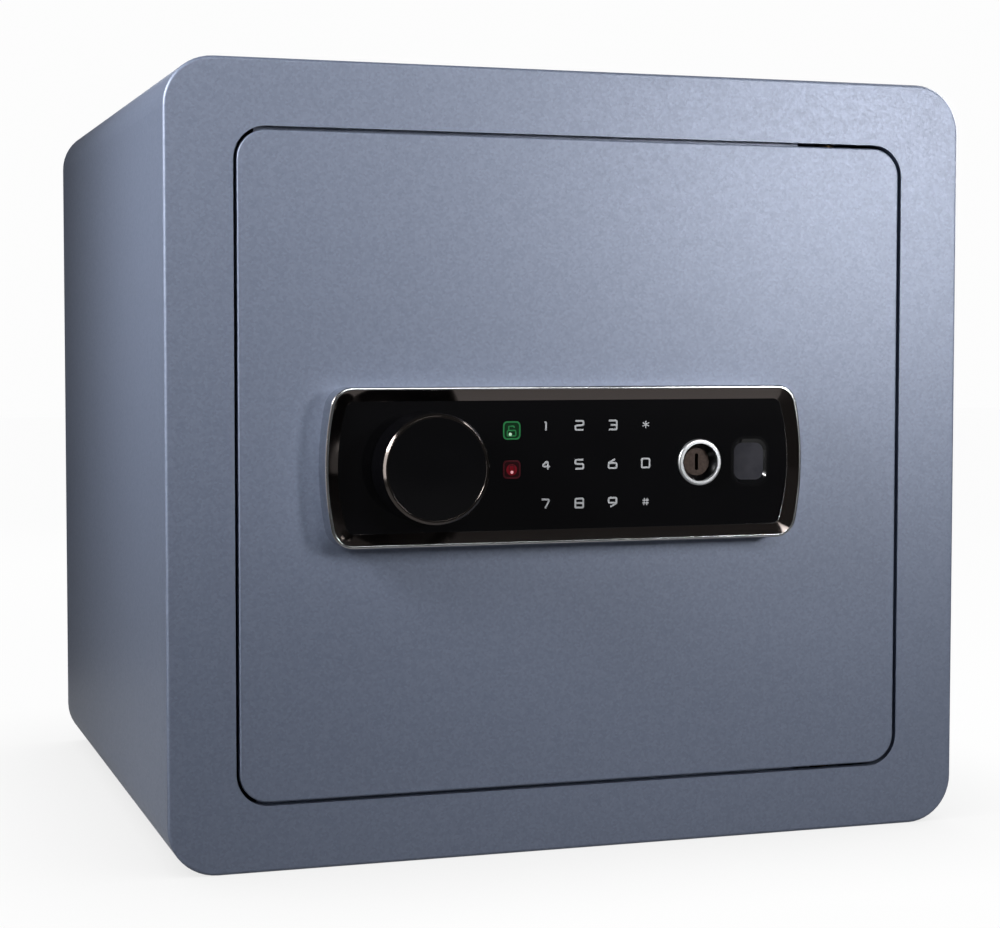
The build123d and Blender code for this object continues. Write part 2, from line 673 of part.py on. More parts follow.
def finger_guide():
    """The moulded frame that leads a finger onto the reader's window."""
    outer = RectangleRounded(FINGER_W + 2 * FINGER_WALL, FINGER_H + 2 * FINGER_WALL, FINGER_R + FINGER_WALL)
    guide = slab(outer, FASCIA_FRONT, FASCIA_BACK, FINGER_X, MID_Z)
    mouth = RectangleRounded(FINGER_W, FINGER_H, FINGER_R)
    throat = RectangleRounded(WINDOW_W, WINDOW_H, WINDOW_R)
    sink = FASCIA_FRONT + FINGER_SINK
    guide -= taper(mouth, throat, FASCIA_FRONT, sink, FINGER_X, MID_Z)
    return guide - slab(throat, sink - 0.01, FASCIA_BACK + 1, FINGER_X, MID_Z)


def fingerprint_sensor():
    """The reader module behind the guide, on the board."""
    window = RectangleRounded(WINDOW_W + FINGER_WALL, WINDOW_H + FINGER_WALL, WINDOW_R)
    return slab(window, FASCIA_BACK, BOARD_FRONT, FINGER_X, MID_Z)


def key_ring():
    """The chromed ring round the key cylinder."""
    inner = RING_R - RING_WALL
    ring = rod_y(RING_R, FASCIA_FRONT - RING_PROUD, FASCIA_FRONT, KEYLOCK_X, MID_Z)
    ring = fillet(front_edges(ring, FASCIA_FRONT - RING_PROUD), RING_PROUD * 0.6)
    ring += rod_y(RING_R - RING_WALL / 2, FASCIA_FRONT, FASCIA_BACK, KEYLOCK_X, MID_Z)
    return ring - rod_y(inner, FASCIA_FRONT - RING_PROUD - 1, FASCIA_BACK + 1, KEYLOCK_X, MID_Z)


def key_barrel():
    """The fixed lock barrel: a funnel mouth, a bore for the plug and a threaded tail."""
    mouth_r = RING_R - RING_WALL
    barrel = rod_y(mouth_r, FASCIA_FRONT, FASCIA_BACK, KEYLOCK_X, MID_Z)
    barrel += rod_y(BARREL_R, FASCIA_BACK, BARREL_BACK, KEYLOCK_X, MID_Z)
    bore = PLUG_R + RUN_FIT
    barrel -= taper(Circle(mouth_r - LOOSE_FIT), Circle(bore), FASCIA_FRONT, PLUG_FRONT, KEYLOCK_X, MID_Z)
    return barrel - rod_y(bore, PLUG_FRONT - 0.01, BARREL_BACK + 1, KEYLOCK_X, MID_Z)


def barrel_nut():
    """The hexagon nut that clamps the barrel to the door plate."""
    nut = slab(RegularPolygon(NUT_R, 6), PLATE_Y, PLATE_Y + NUT_T, KEYLOCK_X, MID_Z)
    return nut - rod_y(BARREL_R, PLATE_Y - 1, PLATE_Y + NUT_T + 1, KEYLOCK_X, MID_Z)


def key_plug():
    """The turning plug with its keyway and square tail."""
    plug = rod_y(PLUG_R, PLUG_FRONT, CAM_FRONT, KEYLOCK_X, MID_Z)
    half_w = KEYWAY_W / 2
    half_h = KEYWAY_H / 2
    plug -= block(KEYLOCK_X - half_w, KEYLOCK_X + half_w, PLUG_FRONT - 1, PLUG_FRONT + KEYWAY_DEPTH,
                  MID_Z - half_h, MID_Z + half_h)
    return plug


def key_cam():
    """The flat cam on the plug's tail, pointing down while the lock is at rest."""
    half = CAM_W / 2
    cam = block(KEYLOCK_X - half, KEYLOCK_X + half, CAM_FRONT, CAM_FRONT + CAM_T, MID_Z - CAM_L, MID_Z)
    cam += rod_y(half, CAM_FRONT, CAM_FRONT + CAM_T, KEYLOCK_X, MID_Z)
    cam += rod_y(half, CAM_FRONT, CAM_FRONT + CAM_T, KEYLOCK_X, MID_Z - CAM_L)
    return cam - rod_y(SCREW_R, CAM_FRONT - 1, CAM_FRONT + CAM_T + 1, KEYLOCK_X, MID_Z)


def cam_screw():
    """The screw that fixes the cam to the plug."""
    return pan_head_screw(KEYLOCK_X, MID_Z, CAM_FRONT + CAM_T, CAM_T)


def spindle_bush():
    """The flanged bearing bush pressed through the door plate for the knob's spindle."""
    bush = rod_y(SPINDLE_R + RUN_FIT + BUSH_WALL, FRONT_Y, BUSH_BACK, KNOB_X, MID_Z)
    bush += rod_y(BUSH_FLANGE_R, PLATE_Y, PLATE_Y + BUSH_FLANGE_T, KNOB_X, MID_Z)
    return bush - rod_y(SPINDLE_R + RUN_FIT, FRONT_Y - 1, BUSH_BACK + 1, KNOB_X, MID_Z)


def knob():
    """The black turning knob, slightly narrower at its front, hollowed for its cap and ring."""
    neck = KNOB_FRONT + TRIM_T
    body = taper(Circle(KNOB_R - KNOB_DRAFT), Circle(KNOB_R), neck, KNOB_BACK, KNOB_X, MID_Z)
    return body - rod_y(SPINDLE_R, KNOB_BACK - SPINDLE_IN_KNOB, KNOB_BACK + 1, KNOB_X, MID_Z)


def knob_trim_ring():
    """The bright chamfered ring at the knob's front edge."""
    outer_r = KNOB_R - KNOB_DRAFT
    ring = rod_y(outer_r, KNOB_FRONT, KNOB_FRONT + TRIM_T, KNOB_X, MID_Z)
    ring = chamfer(front_edges(ring, KNOB_FRONT), TRIM_CHAMFER)
    return ring - rod_y(outer_r - TRIM_W, KNOB_FRONT - 1, KNOB_FRONT + TRIM_T + 1, KNOB_X, MID_Z)


def knob_cap():
    """The gloss disc set in the knob's face, dished a little towards its middle."""
    cap_r = KNOB_R - KNOB_DRAFT - TRIM_W
    face = KNOB_FRONT + TRIM_CHAMFER / 4
    cap = rod_y(cap_r, face, KNOB_FRONT + TRIM_T, KNOB_X, MID_Z)
    dish_r = (cap_r ** 2 + CAP_DISH ** 2) / (2 * CAP_DISH)
    return cap - Pos(KNOB_X, face + CAP_DISH - dish_r, MID_Z) * Sphere(dish_r)


def spindle():
    """The steel spindle from the knob through the bush to the crank disc."""
    return rod_y(SPINDLE_R, KNOB_BACK - SPINDLE_IN_KNOB, DISC_BACK, KNOB_X, MID_Z)


def spindle_spacer():
    """The collar between the bush and the crank disc."""
    collar = rod_y(SPACER_R, BUSH_BACK + LOOSE_FIT, DISC_FRONT, KNOB_X, MID_Z)
    return collar - rod_y(SPINDLE_R, BUSH_BACK, DISC_FRONT + 1, KNOB_X, MID_Z)


def sector(radius, middle, spread):
    """A pie slice in the front view, its middle at an angle from +X towards +Z."""
    start = math.radians(middle - spread / 2)
    end = math.radians(middle + spread / 2)
    centre = math.radians(middle)
    first = (radius * math.cos(start), radius * math.sin(start))
    through = (radius * math.cos(centre), radius * math.sin(centre))
    last = (radius * math.cos(end), radius * math.sin(end))
    return make_face([Line((0, 0), first), ThreePointArc(first, through, last), Line(last, (0, 0))])


def crank_disc():
    """The disc on the spindle, with the lug that the solenoid's plunger blocks."""
    disc = rod_y(CRANK_DISC_R, DISC_FRONT, DISC_BACK, KNOB_X, MID_Z)
    lug_middle = 270.0 - THROW_ANGLE / 2
    disc += slab(sector(LUG_R, lug_middle, LUG_ANGLE), DISC_FRONT, DISC_BACK, KNOB_X, MID_Z)
    disc -= rod_y(SPINDLE_R, DISC_FRONT - 1, DISC_BACK + 1, KNOB_X, MID_Z)
    return disc


def crank_pin():
    """The pin on the crank disc that drives the bolt carriage."""
    return rod_y(CRANK_PIN_R, DISC_BACK, DISC_BACK + CRANK_PIN_L, CRANK_PIN_X, CRANK_PIN_Z)


def spindle_screw():
    """The screw and head that keep the crank disc on the spindle."""
    return rod_y(SPINDLE_R + 2 * SCREW_R, DISC_BACK, DISC_BACK + SCREW_HEAD_T, KNOB_X, MID_Z)


def bolt_carriage():
    """The bent plate that carries the three bolts: a tall flange and an arm with two slots."""
    low = BOLT_HEIGHTS[0] - CARRIAGE_END
    high = BOLT_HEIGHTS[-1] + CARRIAGE_END
    flange_back = BOLT_Y + BOLT_R + CARRIAGE_T
    plate = block(BOLT_TAIL, BOLT_TAIL + CARRIAGE_T, ARM_Y, flange_back, low, high)
    plate += block(BOLT_TAIL, ARM_RIGHT, ARM_Y, ARM_Y + CARRIAGE_T, ARM_BOTTOM, ARM_TOP)
    half = CRANK_PIN_R + SLOT_SIDE
    slot_low = CRANK_PIN_Z - CRANK_PIN_R - SLOT_END
    slot_high = MID_Z + CRANK_R + CRANK_PIN_R + SLOT_END
    plate -= block(CRANK_PIN_X - half, CRANK_PIN_X + half, ARM_Y - 1, ARM_Y + CARRIAGE_T + 1,
                   slot_low, slot_high)
    stud_half = STUD_R + 2 * RUN_FIT
    slot_length = BOLT_THROW + 2 * stud_half
    stud_slot = SlotOverall(slot_length, 2 * stud_half)
    plate -= slab(stud_slot, ARM_Y - 1, ARM_Y + CARRIAGE_T + 1, STUD_X + BOLT_THROW / 2, STUD_Z)
    for z in BOLT_HEIGHTS:
        plate -= rod_x(BOLT_SCREW_R, BOLT_TAIL - 1, BOLT_TAIL + CARRIAGE_T + 1, BOLT_Y, z)
    return plate


def locking_bolts():
    """The three round steel bolts, drawn back level with the door box's side."""
    bolts = []
    for z in BOLT_HEIGHTS:
        bolt = rod_x(BOLT_R, PAN_LEFT, BOLT_TAIL, BOLT_Y, z)
        tip = bolt.edges().filter_by_position(Axis.X, PAN_LEFT - 0.01, PAN_LEFT + 0.01)
        bolt = chamfer(tip, BOLT_CHAMFER)
        bolts.append(bolt - rod_x(BOLT_SCREW_R, BOLT_TAIL - BOLT_SCREW_IN, BOLT_TAIL + 1, BOLT_Y, z))
    return Compound(bolts)


def bolt_screws():
    """The hexagon screws that hold the bolts to the carriage."""
    screws = []
    seat = BOLT_TAIL + CARRIAGE_T
    for z in BOLT_HEIGHTS:
        screw = rod_x(BOLT_SCREW_R, BOLT_TAIL - BOLT_SCREW_IN, seat, BOLT_Y, z)
        hexagon = extrude(Plane.YZ * RegularPolygon(BOLT_SCREW_HEAD_R, 6), CARRIAGE_T)
        screws.append(screw + Pos(seat, BOLT_Y, z) * hexagon)
    return Compound(screws)


def bolt_guide():
    """The angle inside the door box that the bolts slide through."""
    low = BOLT_HEIGHTS[0] - CARRIAGE_END - GUIDE_FOOT_T
    high = BOLT_HEIGHTS[-1] + CARRIAGE_END + GUIDE_FOOT_T
    back = BOLT_Y + BOLT_R + CARRIAGE_T
    guide = block(GUIDE_X, GUIDE_X + GUIDE_T, PLATE_Y, back, low, high)
    guide += block(GUIDE_X - GUIDE_FOOT, GUIDE_X + GUIDE_T, PLATE_Y, PLATE_Y + GUIDE_FOOT_T, low, high)
    for z in BOLT_HEIGHTS:
        guide -= rod_x(BOLT_R + RUN_FIT, GUIDE_X - 1, GUIDE_X + GUIDE_T + 1, BOLT_Y, z)
    return guide


def guide_stud():
    """The shouldered stud on the door plate that steadies the carriage's arm."""
    tip = ARM_Y + CARRIAGE_T + LOOSE_FIT
    stud = rod_y(STUD_R, PLATE_Y, tip + STUD_CLIP_T, STUD_X, STUD_Z)
    return stud + rod_y(STUD_CLIP_R, PLATE_Y, ARM_Y - LOOSE_FIT, STUD_X, STUD_Z)


def stud_clip():
    """The clip that keeps the arm on its stud."""
    tip = ARM_Y + CARRIAGE_T + LOOSE_FIT
    clip = rod_y(STUD_CLIP_R, tip, tip + STUD_CLIP_T, STUD_X, STUD_Z)
    return clip - rod_y(STUD_R, tip - 1, tip + STUD_CLIP_T + 1, STUD_X, STUD_Z)


def solenoid_bracket():
    """The sheet bracket that holds the solenoid on the door plate."""
    half = SOLENOID_W / 2
    bottom = SOLENOID_TOP - SOLENOID_H
    return block(KNOB_X - half - SOLENOID_EAR, KNOB_X + half + SOLENOID_EAR,
                 PLATE_Y, SOLENOID_FRONT, bottom, SOLENOID_TOP)


def solenoid_body():
    """The latching solenoid's coil and frame, bored for its plunger."""
    half = SOLENOID_W / 2
    bottom = SOLENOID_TOP - SOLENOID_H
    back = SOLENOID_FRONT + SOLENOID_D
    body = block(KNOB_X - half, KNOB_X + half, SOLENOID_FRONT, back, bottom, SOLENOID_TOP)
    return body - rod_z(PLUNGER_R + 2 * RUN_FIT, bottom - 1, SOLENOID_TOP + 1, KNOB_X, PLUNGER_Y)


def plunger():
    """The steel plunger, drawn down clear of the crank disc's lug."""
    bottom = SOLENOID_TOP - SOLENOID_H + CLIP_T
    pin = rod_z(PLUNGER_R, bottom, PLUNGER_TOP, KNOB_X, PLUNGER_Y)
    top = pin.edges().filter_by_position(Axis.Z, PLUNGER_TOP - 0.01, PLUNGER_TOP + 0.01)
    return chamfer(top, PLUNGER_R * 0.2)


def plunger_clip():
    """The clip on the plunger that rests on the solenoid's top when it is drawn in."""
    low = SOLENOID_TOP + LOOSE_FIT
    clip = rod_z(CLIP_R, low, low + CLIP_T, KNOB_X, PLUNGER_Y)
    return clip - rod_z(PLUNGER_R, low - 1, low + CLIP_T + 1, KNOB_X, PLUNGER_Y)


def battery_tray():
    """The moulded battery holder: a box let into the cover, a rim and two side rails."""
    tray = slab(Rectangle(TRAY_W, TRAY_H), TRAY_FRONT, COVER_BACK, TRAY_X, MID_Z)
    rim_w = TRAY_W + 2 * RAIL_W + 4 * TRAY_WALL
    rim_h = TRAY_H + 4 * TRAY_WALL
    tray += slab(Rectangle(rim_w, rim_h), COVER_BACK, RIM_BACK, TRAY_X, MID_Z)
    rail_back = LID_BACK + 2 * RUN_FIT + RIM_T
    for side in (-1, 1):
        edge = TRAY_X + side * rim_w / 2
        inner = TRAY_X + side * (rim_w / 2 - RAIL_W)
        lip = TRAY_X + side * (rim_w / 2 - RAIL_W - RAIL_LIP)
        low = MID_Z - rim_h / 2
        high = MID_Z + rim_h / 2
        tray += block(min(edge, inner), max(edge, inner), RIM_BACK, rail_back, low, high)
        tray += block(min(edge, lip), max(edge, lip), LID_BACK + 2 * RUN_FIT, rail_back, low, high)
    tray += slab(Rectangle(rim_w, RAIL_W / 2), RIM_BACK, rail_back, TRAY_X, MID_Z - rim_h / 2 + RAIL_W / 4)
    tray -= slab(Rectangle(TRAY_INNER_W, TRAY_INNER_H), TRAY_FRONT + TRAY_WALL, RIM_BACK + 1, TRAY_X, MID_Z)
    return tray


def battery_lid():
    """The sliding battery lid, with a raised thumb grip."""
    rim_w = TRAY_W + 2 * RAIL_W + 4 * TRAY_WALL
    rim_h = TRAY_H + 4 * TRAY_WALL
    width = rim_w - 2 * RAIL_W - 2 * LOOSE_FIT
    low = MID_Z - rim_h / 2 + RAIL_W / 2 + LOOSE_FIT
    high = MID_Z + rim_h / 2
    lid = block(TRAY_X - width / 2, TRAY_X + width / 2, RIM_BACK + 2 * RUN_FIT, LID_BACK, low, high)
    for i in range(GRIP_BARS):
        z = MID_Z + TRAY_H / 4 + (i - (GRIP_BARS - 1) / 2) * GRIP_PITCH
        lid += block(TRAY_X - GRIP_W / 2, TRAY_X + GRIP_W / 2, LID_BACK, LID_BACK + GRIP_BAR_H,
                     z - GRIP_BAR_W / 2, z + GRIP_BAR_W / 2)
    return lid


def cell_places():
    """The X positions of the battery cells."""
    pitch = 2 * CELL_R + CELL_GAP
    return [TRAY_X + (i - (CELL_COUNT - 1) / 2) * pitch for i in range(CELL_COUNT)]


def cell_axis_y():
    """The depth of the cells' axes in the tray."""
    return TRAY_FRONT + TRAY_WALL + CELL_GAP / 2 + CELL_R


def batteries():
    """Four AA cells, each with its raised positive end."""
    cells = []
    for i, x in enumerate(cell_places()):
        low = MID_Z - CELL_L / 2
        high = MID_Z + CELL_L / 2
        can = rod_z(CELL_R, low, high - CELL_NUB_H, x, cell_axis_y())
        cell = can + rod_z(CELL_NUB_R, high - CELL_NUB_H, high, x, cell_axis_y())
        if i % 2:
            cell = Pos(x, 0, MID_Z) * Rot(0, 180, 0) * Pos(-x, 0, -MID_Z) * cell
        cells.append(cell)
    return Compound(cells)


def battery_contacts():
    """The contact strips at the tray's ends, with a raised spring cup at each cell."""
    strips = []
    reach = TRAY_INNER_H / 2
    y = cell_axis_y()
    for side in (-1, 1):
        wall = MID_Z + side * reach
        face = MID_Z + side * (reach - CONTACT_T)
        cup = MID_Z + side * (CELL_L / 2)
        strip = block(TRAY_X - TRAY_INNER_W / 2 + CELL_GAP, TRAY_X + TRAY_INNER_W / 2 - CELL_GAP,
                      y - CELL_R / 2, y + CELL_R / 2, min(wall, face), max(wall, face))
        for x in cell_places():
            strip += rod_z(CONTACT_CUP_R, min(face, cup), max(face, cup), x, y)
        strips.append(strip)
    return Compound(strips)


def reset_switch():
    """The switch housing behind the cover, bored for the reset button."""
    half = SWITCH_W / 2
    body = block(RESET_X - half, RESET_X + half, PAN_BACK - SWITCH_D, PAN_BACK, RESET_Z - half, RESET_Z + half)
    return body - rod_y(RESET_FLANGE_R + LOOSE_FIT, PAN_BACK - SWITCH_WELL, PAN_BACK + 1, RESET_X, RESET_Z)


def reset_button():
    """The push button for a new code, with an inner flange that keeps it in."""
    seat = PAN_BACK - LOOSE_FIT
    button = rod_y(RESET_R, seat - RESET_FLANGE_T, COVER_BACK + RESET_PROUD, RESET_X, RESET_Z)
    button = fillet(front_edges(button, COVER_BACK + RESET_PROUD), RESET_R * 0.2)
    return button + rod_y(RESET_FLANGE_R, seat - RESET_FLANGE_T, seat, RESET_X, RESET_Z)


def cable_grommet():
    """The rubber grommet in the door plate's wiring hole."""
    outer = rod_y(GROMMET_R, FLOOR_PLANE, PLATE_Y, GROMMET_X, GROMMET_Z)
    outer += rod_y(GROMMET_R + GROMMET_LIP, PLATE_Y, PLATE_Y + GROMMET_LIP, GROMMET_X, GROMMET_Z)
    return outer - rod_y(2 * LEAD_R + LOOSE_FIT, FLOOR_PLANE - 1, PLATE_Y + GROMMET_LIP + 1, GROMMET_X,
                         GROMMET_Z)


def lead(points, radii):
    """A round lead along straight runs joined by arcs."""
    path = FilletPolyline(*points, radius=radii)
    start = Plane(origin=path @ 0, z_dir=path % 0)
    return sweep(start * Circle(LEAD_R), path=path)


def solenoid_lead():
    """The lead from the board through the grommet to the solenoid."""
    run_y = PLATE_Y + LEAD_BEND + 3 * LEAD_R
    side = KNOB_X + SOLENOID_W / 2
    z = SOLENOID_TOP - SOLENOID_H / 2
    x = GROMMET_X - LEAD_R
    points = [(x, BOARD_BACK, GROMMET_Z), (x, run_y, GROMMET_Z), (x, run_y, z), (side, run_y, z)]
    return lead(points, LEAD_BEND)


def battery_lead():
    """The lead from the board through the grommet to the battery tray."""
    run_y = PLATE_Y + LEAD_BEND + 3 * LEAD_R
    x = GROMMET_X + LEAD_R
    side = TRAY_X - TRAY_INNER_W / 4
    z = GROMMET_Z
    points = [(x, BOARD_BACK, z), (x, run_y, z), (side, run_y, z), (side, TRAY_FRONT, z)]
    return lead(points, LEAD_BEND)


NODES = {
    "cabinet_shell": cabinet_shell(),
    "front_frame": front_frame(),
    "back_plate": back_plate(),
    "strike_plate": strike_plate(),
    "door_stop_top": door_stop(1),
    "door_stop_bottom": door_stop(-1),
    "hinge_bracket_top": hinge_bracket(1),
    "hinge_bracket_bottom": hinge_bracket(-1),
    "thrust_washers": thrust_washers(),
    "shelf_supports": shelf_supports(),
    "floor_mat": floor_mat(),
    "shelf": shelf(),
    "door_plate": door_plate(),
    "hinge_knuckle_top": hinge_knuckle(1),
    "hinge_knuckle_bottom": hinge_knuckle(-1),
    "hinge_pins": hinge_pins(),
    "door_pan": door_pan(),
    "door_back_cover": door_back_cover(),
    "door_screws": door_screws(),
    "panel_bezel": panel_bezel(),
    "panel_fascia": panel_fascia(),
    "panel_housing": panel_housing(),
    "cable_grommet": cable_grommet(),
    "circuit_board": circuit_board(),
    "touch_pads": touch_pads(),
    "indicator_lights": indicator_lights(),
    "finger_guide": finger_guide(),
    "fingerprint_sensor": fingerprint_sensor(),
    "key_ring": key_ring(),
    "key_barrel": key_barrel(),
    "barrel_nut": barrel_nut(),
    "key_plug": key_plug(),
    "key_cam": key_cam(),
    "cam_screw": cam_screw(),
    "spindle_bush": spindle_bush(),
    "knob": knob(),
    "knob_trim_ring": knob_trim_ring(),
    "knob_cap": knob_cap(),
    "spindle": spindle(),
    "spindle_spacer": spindle_spacer(),
    "crank_disc": crank_disc(),
    "crank_pin": crank_pin(),
    "spindle_screw": spindle_screw(),
    "bolt_carriage": bolt_carriage(),
    "locking_bolts": locking_bolts(),
    "bolt_screws": bolt_screws(),
    "bolt_guide": bolt_guide(),
    "guide_stud": guide_stud(),
    "stud_clip": stud_clip(),
    "solenoid_bracket": solenoid_bracket(),
    "solenoid_body": solenoid_body(),
    "plunger": plunger(),
    "plunger_clip": plunger_clip(),
    "battery_tray": battery_tray(),
    "battery_lid": battery_lid(),
    "batteries": batteries(),
    "battery_contacts": battery_contacts(),
    "reset_switch": reset_switch(),
    "reset_button": reset_button(),
    "wiring_leads": Compound([solenoid_lead(), battery_lead()]),
}

os.makedirs("parts", exist_ok=True)
for name, solid in NODES.items():
    export_step(solid, f"parts/{name}.step")
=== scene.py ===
import bmesh
import bpy
import math
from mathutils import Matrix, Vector


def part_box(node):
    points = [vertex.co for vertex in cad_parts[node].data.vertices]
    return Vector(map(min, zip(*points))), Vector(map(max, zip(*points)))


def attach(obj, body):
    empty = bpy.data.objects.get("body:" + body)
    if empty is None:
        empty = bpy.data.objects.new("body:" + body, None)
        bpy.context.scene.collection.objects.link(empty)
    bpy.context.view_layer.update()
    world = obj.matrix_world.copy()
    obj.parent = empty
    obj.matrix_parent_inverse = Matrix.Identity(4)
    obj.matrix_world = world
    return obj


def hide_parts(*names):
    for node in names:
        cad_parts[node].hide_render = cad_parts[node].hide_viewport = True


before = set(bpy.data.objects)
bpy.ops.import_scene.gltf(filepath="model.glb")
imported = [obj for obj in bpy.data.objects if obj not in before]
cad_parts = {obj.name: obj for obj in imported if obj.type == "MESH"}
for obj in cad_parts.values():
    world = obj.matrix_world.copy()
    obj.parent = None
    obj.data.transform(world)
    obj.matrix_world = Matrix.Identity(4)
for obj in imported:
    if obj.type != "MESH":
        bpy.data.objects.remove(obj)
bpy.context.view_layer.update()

# Studio
# The safe stands on a pale card on the floor of a plain white room. Soft boxes with grids light
# it from the front on the right, from high in front and from the left; a strip and a rim box
# draw its edges, and a fill lights its back.


def tone(hex_code):
    """An sRGB hex code as the linear colour that the shaders take."""
    parts = [int(hex_code[i:i + 2], 16) / 255 for i in (1, 3, 5)]
    return [p / 12.92 if p <= 0.04045 else ((p + 0.055) / 1.055) ** 2.4 for p in parts] + [1.0]


def add(tree, kind, sockets=None, **settings):
    """Adds a node, sets its properties, and fills its inputs or links them to outputs."""
    made = tree.nodes.new(kind)
    for name, value in settings.items():
        setattr(made, name, value)
    for name, value in (sockets or {}).items():
        if isinstance(value, bpy.types.NodeSocket):
            tree.links.new(value, made.inputs[name])
        else:
            made.inputs[name].default_value = value
    return made


def new_material(name):
    """A new material with an empty tree, and its output node."""
    made = bpy.data.materials.new(name)
    made.use_nodes = True
    made.node_tree.nodes.clear()
    return made, made.node_tree, add(made.node_tree, "ShaderNodeOutputMaterial")


def mesh_piece(name, points, faces, material, sharp=35.0):
    """A mesh object at the origin, welded, facing outwards, smooth up to the sharp angle."""
    mesh = bpy.data.meshes.new(name)
    mesh.from_pydata(points, [], faces)
    made = bmesh.new()
    made.from_mesh(mesh)
    bmesh.ops.remove_doubles(made, verts=made.verts, dist=1e-7)
    bmesh.ops.recalc_face_normals(made, faces=made.faces)
    made.to_mesh(mesh)
    made.free()
    mesh.shade_smooth()
    mesh.set_sharp_from_angle(angle=math.radians(sharp))
    mesh.materials.append(material)
    piece = bpy.data.objects.new(name, mesh)
    bpy.context.scene.collection.objects.link(piece)
    return piece


def soft_box(name, place, aim, width, height, beam, power):
    """A rectangular soft box aimed at a point; beam is the angle that its grid lets through."""
    lamp = bpy.data.lights.new(name, "AREA")
    lamp.shape = "RECTANGLE"
    lamp.size = width
    lamp.size_y = height
    lamp.spread = math.radians(beam)
    lamp.energy = power
    made = bpy.data.objects.new(name, lamp)
    made.location = place
    made.rotation_euler = (Vector(aim) - Vector(place)).to_track_quat("-Z", "Y").to_euler()
    bpy.context.scene.collection.objects.link(made)


# Places and sizes in metres, beams in degrees, powers in watts.
soft_box("hot_box", (0.59, -1.00, 0.43), (0.17, -0.17, 0.30), 0.20, 0.20, 60, 0.69)
soft_box("upper_box", (0.17, -1.40, 0.93), (-0.03, -0.17, 0.34), 0.60, 0.30, 40, 0.38)
soft_box("left_front_box", (-0.72, -0.29, 0.60), (-0.19, -0.12, 0.30), 0.22, 0.30, 55, 1.05)
soft_box("left_tall_strip", (-0.62, -0.36, 0.27), (-0.18, -0.17, 0.20), 0.14, 0.50, 180, 0.9)
soft_box("rim_box", (0.78, -0.01, 0.62), (0.00, -0.19, 0.20), 0.24, 0.56, 180, 6.0)
soft_box("back_fill_box", (0.30, 1.30, 0.75), (0.00, 0.17, 0.18), 0.70, 0.60, 180, 9.0)

# The camera, and rays through glass, see floor and room near white. A mirror sees a share of
# that, which keeps the bevel's dark chrome dark. To soft light the floor is a dark grey, so that it
# doesn't wash out the shades of the paint.
FLOOR_SEEN, FLOOR_BOUNCE = "#D8D8D8", "#424242"
GLOW_SHARE = 0.97
CARD_MIRROR, ROOM_MIRROR = 0.24, 0.04
ROOM_FILL, ROOM_WHITE = 0.03, 0.98
# How far the painted contact shadow on the sheets reaches, in metres, and how far down it dims their
# glow.
PAINTED_SHADOW_REACH, PAINTED_SHADOW_LEVEL = 0.12, 0.78
CARD_HALF_W, CARD_FRONT, CARD_BACK = 0.45, -0.37, 0.40
ROOM_HALF, CARD_THICK = 6.0, 0.0002


def shown_share(tree, mirror_share):
    """How far a ray sees the pale background: in full by eye or through glass, in part in a mirror."""
    seen = add(tree, "ShaderNodeLightPath")
    mirrored = add(tree, "ShaderNodeMath", {0: seen.outputs["Is Glossy Ray"], 1: mirror_share},
                   operation="MULTIPLY")
    direct = add(tree, "ShaderNodeMath", {0: seen.outputs["Is Camera Ray"], 1: mirrored.outputs[0]},
                 operation="ADD")
    through = seen.outputs["Is Transmission Ray"]
    shown = add(tree, "ShaderNodeMath", {0: direct.outputs[0], 1: through}, operation="ADD",
                use_clamp=True)
    return shown.outputs[0]


def studio_sheet(name, half_x, front, back, z, mirror_share):
    """A flat matt sheet that looks near white, with a painted soft contact shadow where a piece is
    close.
    """
    paper, tree, out = new_material(name + "_paper")
    shown = shown_share(tree, mirror_share)
    hue = add(tree, "ShaderNodeMix", {0: shown, 6: tone(FLOOR_BOUNCE), 7: tone(FLOOR_SEEN)},
              data_type="RGBA")
    card = add(tree, "ShaderNodeBsdfDiffuse", {"Color": hue.outputs[2]})
    part = add(tree, "ShaderNodeMath", {0: shown, 1: GLOW_SHARE}, operation="MULTIPLY")
    # The glow dims where a piece is close: a painted contact shadow.
    open_sky = add(tree, "ShaderNodeAmbientOcclusion", {"Distance": PAINTED_SHADOW_REACH}, samples=8)
    painted_contact_shadow = add(tree, "ShaderNodeMapRange", {"Value": open_sky.outputs["AO"],
                                               "To Min": PAINTED_SHADOW_LEVEL, "To Max": 1.0})
    glow = add(tree, "ShaderNodeEmission", {"Color": tone("#FFFFFF"), "Strength": painted_contact_shadow.outputs[0]})
    lit = add(tree, "ShaderNodeMixShader", {0: part.outputs[0], 1: card.outputs[0], 2: glow.outputs[0]})
    tree.links.new(lit.outputs[0], out.inputs["Surface"])
    corners = [(-half_x, front, z), (half_x, front, z), (half_x, back, z), (-half_x, back, z)]
    mesh_piece(name, corners, [(0, 1, 2, 3)], paper, 60)


studio_sheet("card", CARD_HALF_W, CARD_FRONT, CARD_BACK, 0.0, CARD_MIRROR)
studio_sheet("room_floor", ROOM_HALF, -ROOM_HALF, ROOM_HALF, -CARD_THICK, ROOM_MIRROR)

world = bpy.data.worlds.new("studio_room")
world.use_nodes = True
tree = world.node_tree
level = add(tree, "ShaderNodeMapRange", {"Value": shown_share(tree, ROOM_MIRROR),
                                         "To Min": ROOM_FILL, "To Max": ROOM_WHITE})
tree.nodes["Background"].inputs["Color"].default_value = tone("#FFFFFF")
tree.links.new(level.outputs[0], tree.nodes["Background"].inputs["Strength"])
bpy.context.scene.world = world
bpy.context.scene.view_settings.view_transform = "Standard"

# The camera stands in front on the left, at about two thirds of the safe's height, and looks a
# little down. It was placed by the corners of the cabinet, the door gap and the lock panel.
CAMERA_PLACE = (-0.340915, -1.062034, 0.227976)
CAMERA_DOWN, CAMERA_TURN = 2.8908, -17.8335
CAMERA_LENS, FILM_WIDTH = 76.02, 36.0
CAMERA_SHIFT_X, CAMERA_SHIFT_Y = 0.030, -0.00943

